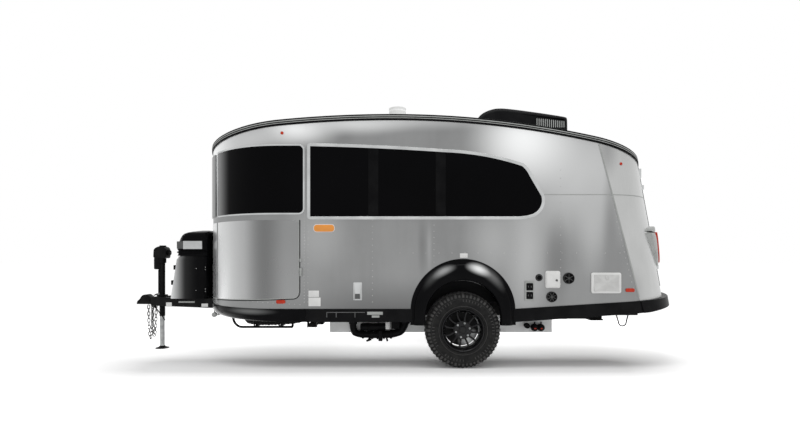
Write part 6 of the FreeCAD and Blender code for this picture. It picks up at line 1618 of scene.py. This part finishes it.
sides = ("front_left", "front_right", "rear_left", "rear_right")
dressedNodes = {
    "black_steel": ("axle", "cross_members", "frame_rail_left", "frame_rail_right", "tongue_rail_left",
                    "tongue_rail_right", "underbody_brackets", *("stabiliser_" + side for side in sides)),
    "black_plastic": ("side_skirts", "skirt_rear", "wheel_wells"),
    "white_steel": ("gas_bottles", "tank_enclosures"),
    "white_plastic": ("roof_vents", "fan_lid"),
    "polished_trim": ("panel_hinges", "door_fittings"),
    "floor_board": ("floor",), "step_aluminium": ("entry_step",),
}
for slotName, nodes in dressedNodes.items():
    for node in nodes:
        dressed(node, slotName)
print("other nodes dressed:", sum(len(nodes) for nodes in dressedNodes.values()))


# Floor, light and sky

stage = {"floorColour": (0.90, 0.90, 0.90), "floorPale": (0.93, 0.93, 0.93), "floorNoise": 0.6, "floorReach": 60,
         "floorGlow": 0.34, "floorPaintedLight": 0.5, "floorPaintedShadow": 0.40, "worldColour": 0.92, "worldStrength": 0.85,
         "floorPaintedMasks": (((0, 1.2, 0), (90, 2.0, 9), 2.0), ((0, -0.93, 0), (90, 0.64, 9), 1.15),
                          ((-0.05, 0, 0), (3.4, 90, 9), 4.0)),
         "lampPower": 110, "lampSize": (4.2, 1.8), "lampPlace": (0.8, -1.6, 5.6)}


def seenRays(tree):
    # one for rays from the camera, a mirror or a pane
    rays = tree.nodes.new("ShaderNodeLightPath").outputs
    seen = mathNode(tree, "MAXIMUM", rays["Is Camera Ray"], rays["Is Glossy Ray"])
    return mathNode(tree, "MAXIMUM", seen, rays["Is Transmission Ray"])


def stageFloor():
    mesh = bpy.data.meshes.new("stageFloor")
    reach = stage["floorReach"]
    corners = [(-reach, -reach, 0), (reach, -reach, 0), (reach, reach, 0), (-reach, reach, 0)]
    mesh.from_pydata(corners, [], [(0, 1, 2, 3)])
    item = bpy.data.objects.new("stageFloor", mesh)
    bpy.context.scene.collection.objects.link(item)
    material, tree, shader, place = newMaterial("paleFloor")
    noise = noiseNode(tree, place, stage["floorNoise"])
    setInput(tree, shader["Base Color"], mixColour(tree, noise, stage["floorColour"], stage["floorPale"]))
    setInput(tree, shader["Roughness"], 1.0)
    setInput(tree, shader["Specular IOR Level"], 0.0)
    # what the camera sees is lifted, so that only the shadow is darker than the background; painted light lifts it
    # more behind the caravan, over its real shadow there, and a painted shadow band darkens it along its near side
    masks = [groupNode(tree, "glint", place, Centre=centre, Reach=reach, Share=factor)["Mask"]
             for centre, reach, factor in stage["floorPaintedMasks"]]
    behind, near, middle = (mathNode(tree, "MINIMUM", mask, 1.0) for mask in masks)
    lift = mathNode(tree, "MULTIPLY", behind, stage["floorPaintedLight"])
    shade = mathNode(tree, "MULTIPLY", mathNode(tree, "MULTIPLY", near, middle), stage["floorPaintedShadow"])
    share = mathNode(tree, "SUBTRACT", mathNode(tree, "ADD", lift, stage["floorGlow"]), shade)
    strength = mathNode(tree, "MULTIPLY", seenRays(tree), mathNode(tree, "MAXIMUM", share, 0.0))
    glow = addNode(tree, "Emission", {"Strength": strength}).outputs[0]
    both = addNode(tree, "AddShader", {0: tree.nodes["Principled BSDF"].outputs[0], 1: glow}).outputs[0]
    tree.links.new(both, tree.nodes["Material Output"].inputs["Surface"])
    mesh.materials.append(material)


stageFloor()

world = bpy.data.worlds.new("studio")
bpy.context.scene.world = world
world.use_nodes = True
tree = world.node_tree
background = tree.nodes["Background"]
background.inputs["Color"].default_value = (*[stage["worldColour"]] * 3, 1)
background.inputs["Strength"].default_value = stage["worldStrength"]
bright = addNode(tree, "Background", {"Color": (1, 1, 1, 1)})
mix = addNode(tree, "MixShader", {0: seenRays(tree), 1: background.outputs[0], 2: bright.outputs[0]})
tree.links.new(mix.outputs[0], tree.nodes["World Output"].inputs["Surface"])

lampData = bpy.data.lights.new("overheadSoft", "AREA")
lampData.shape = "RECTANGLE"
lampData.size, lampData.size_y = stage["lampSize"]
lampData.energy = stage["lampPower"]
lamp = bpy.data.objects.new("overheadSoft", lampData)
lamp.location = stage["lampPlace"]
bpy.context.scene.collection.objects.link(lamp)
print("stage lit")
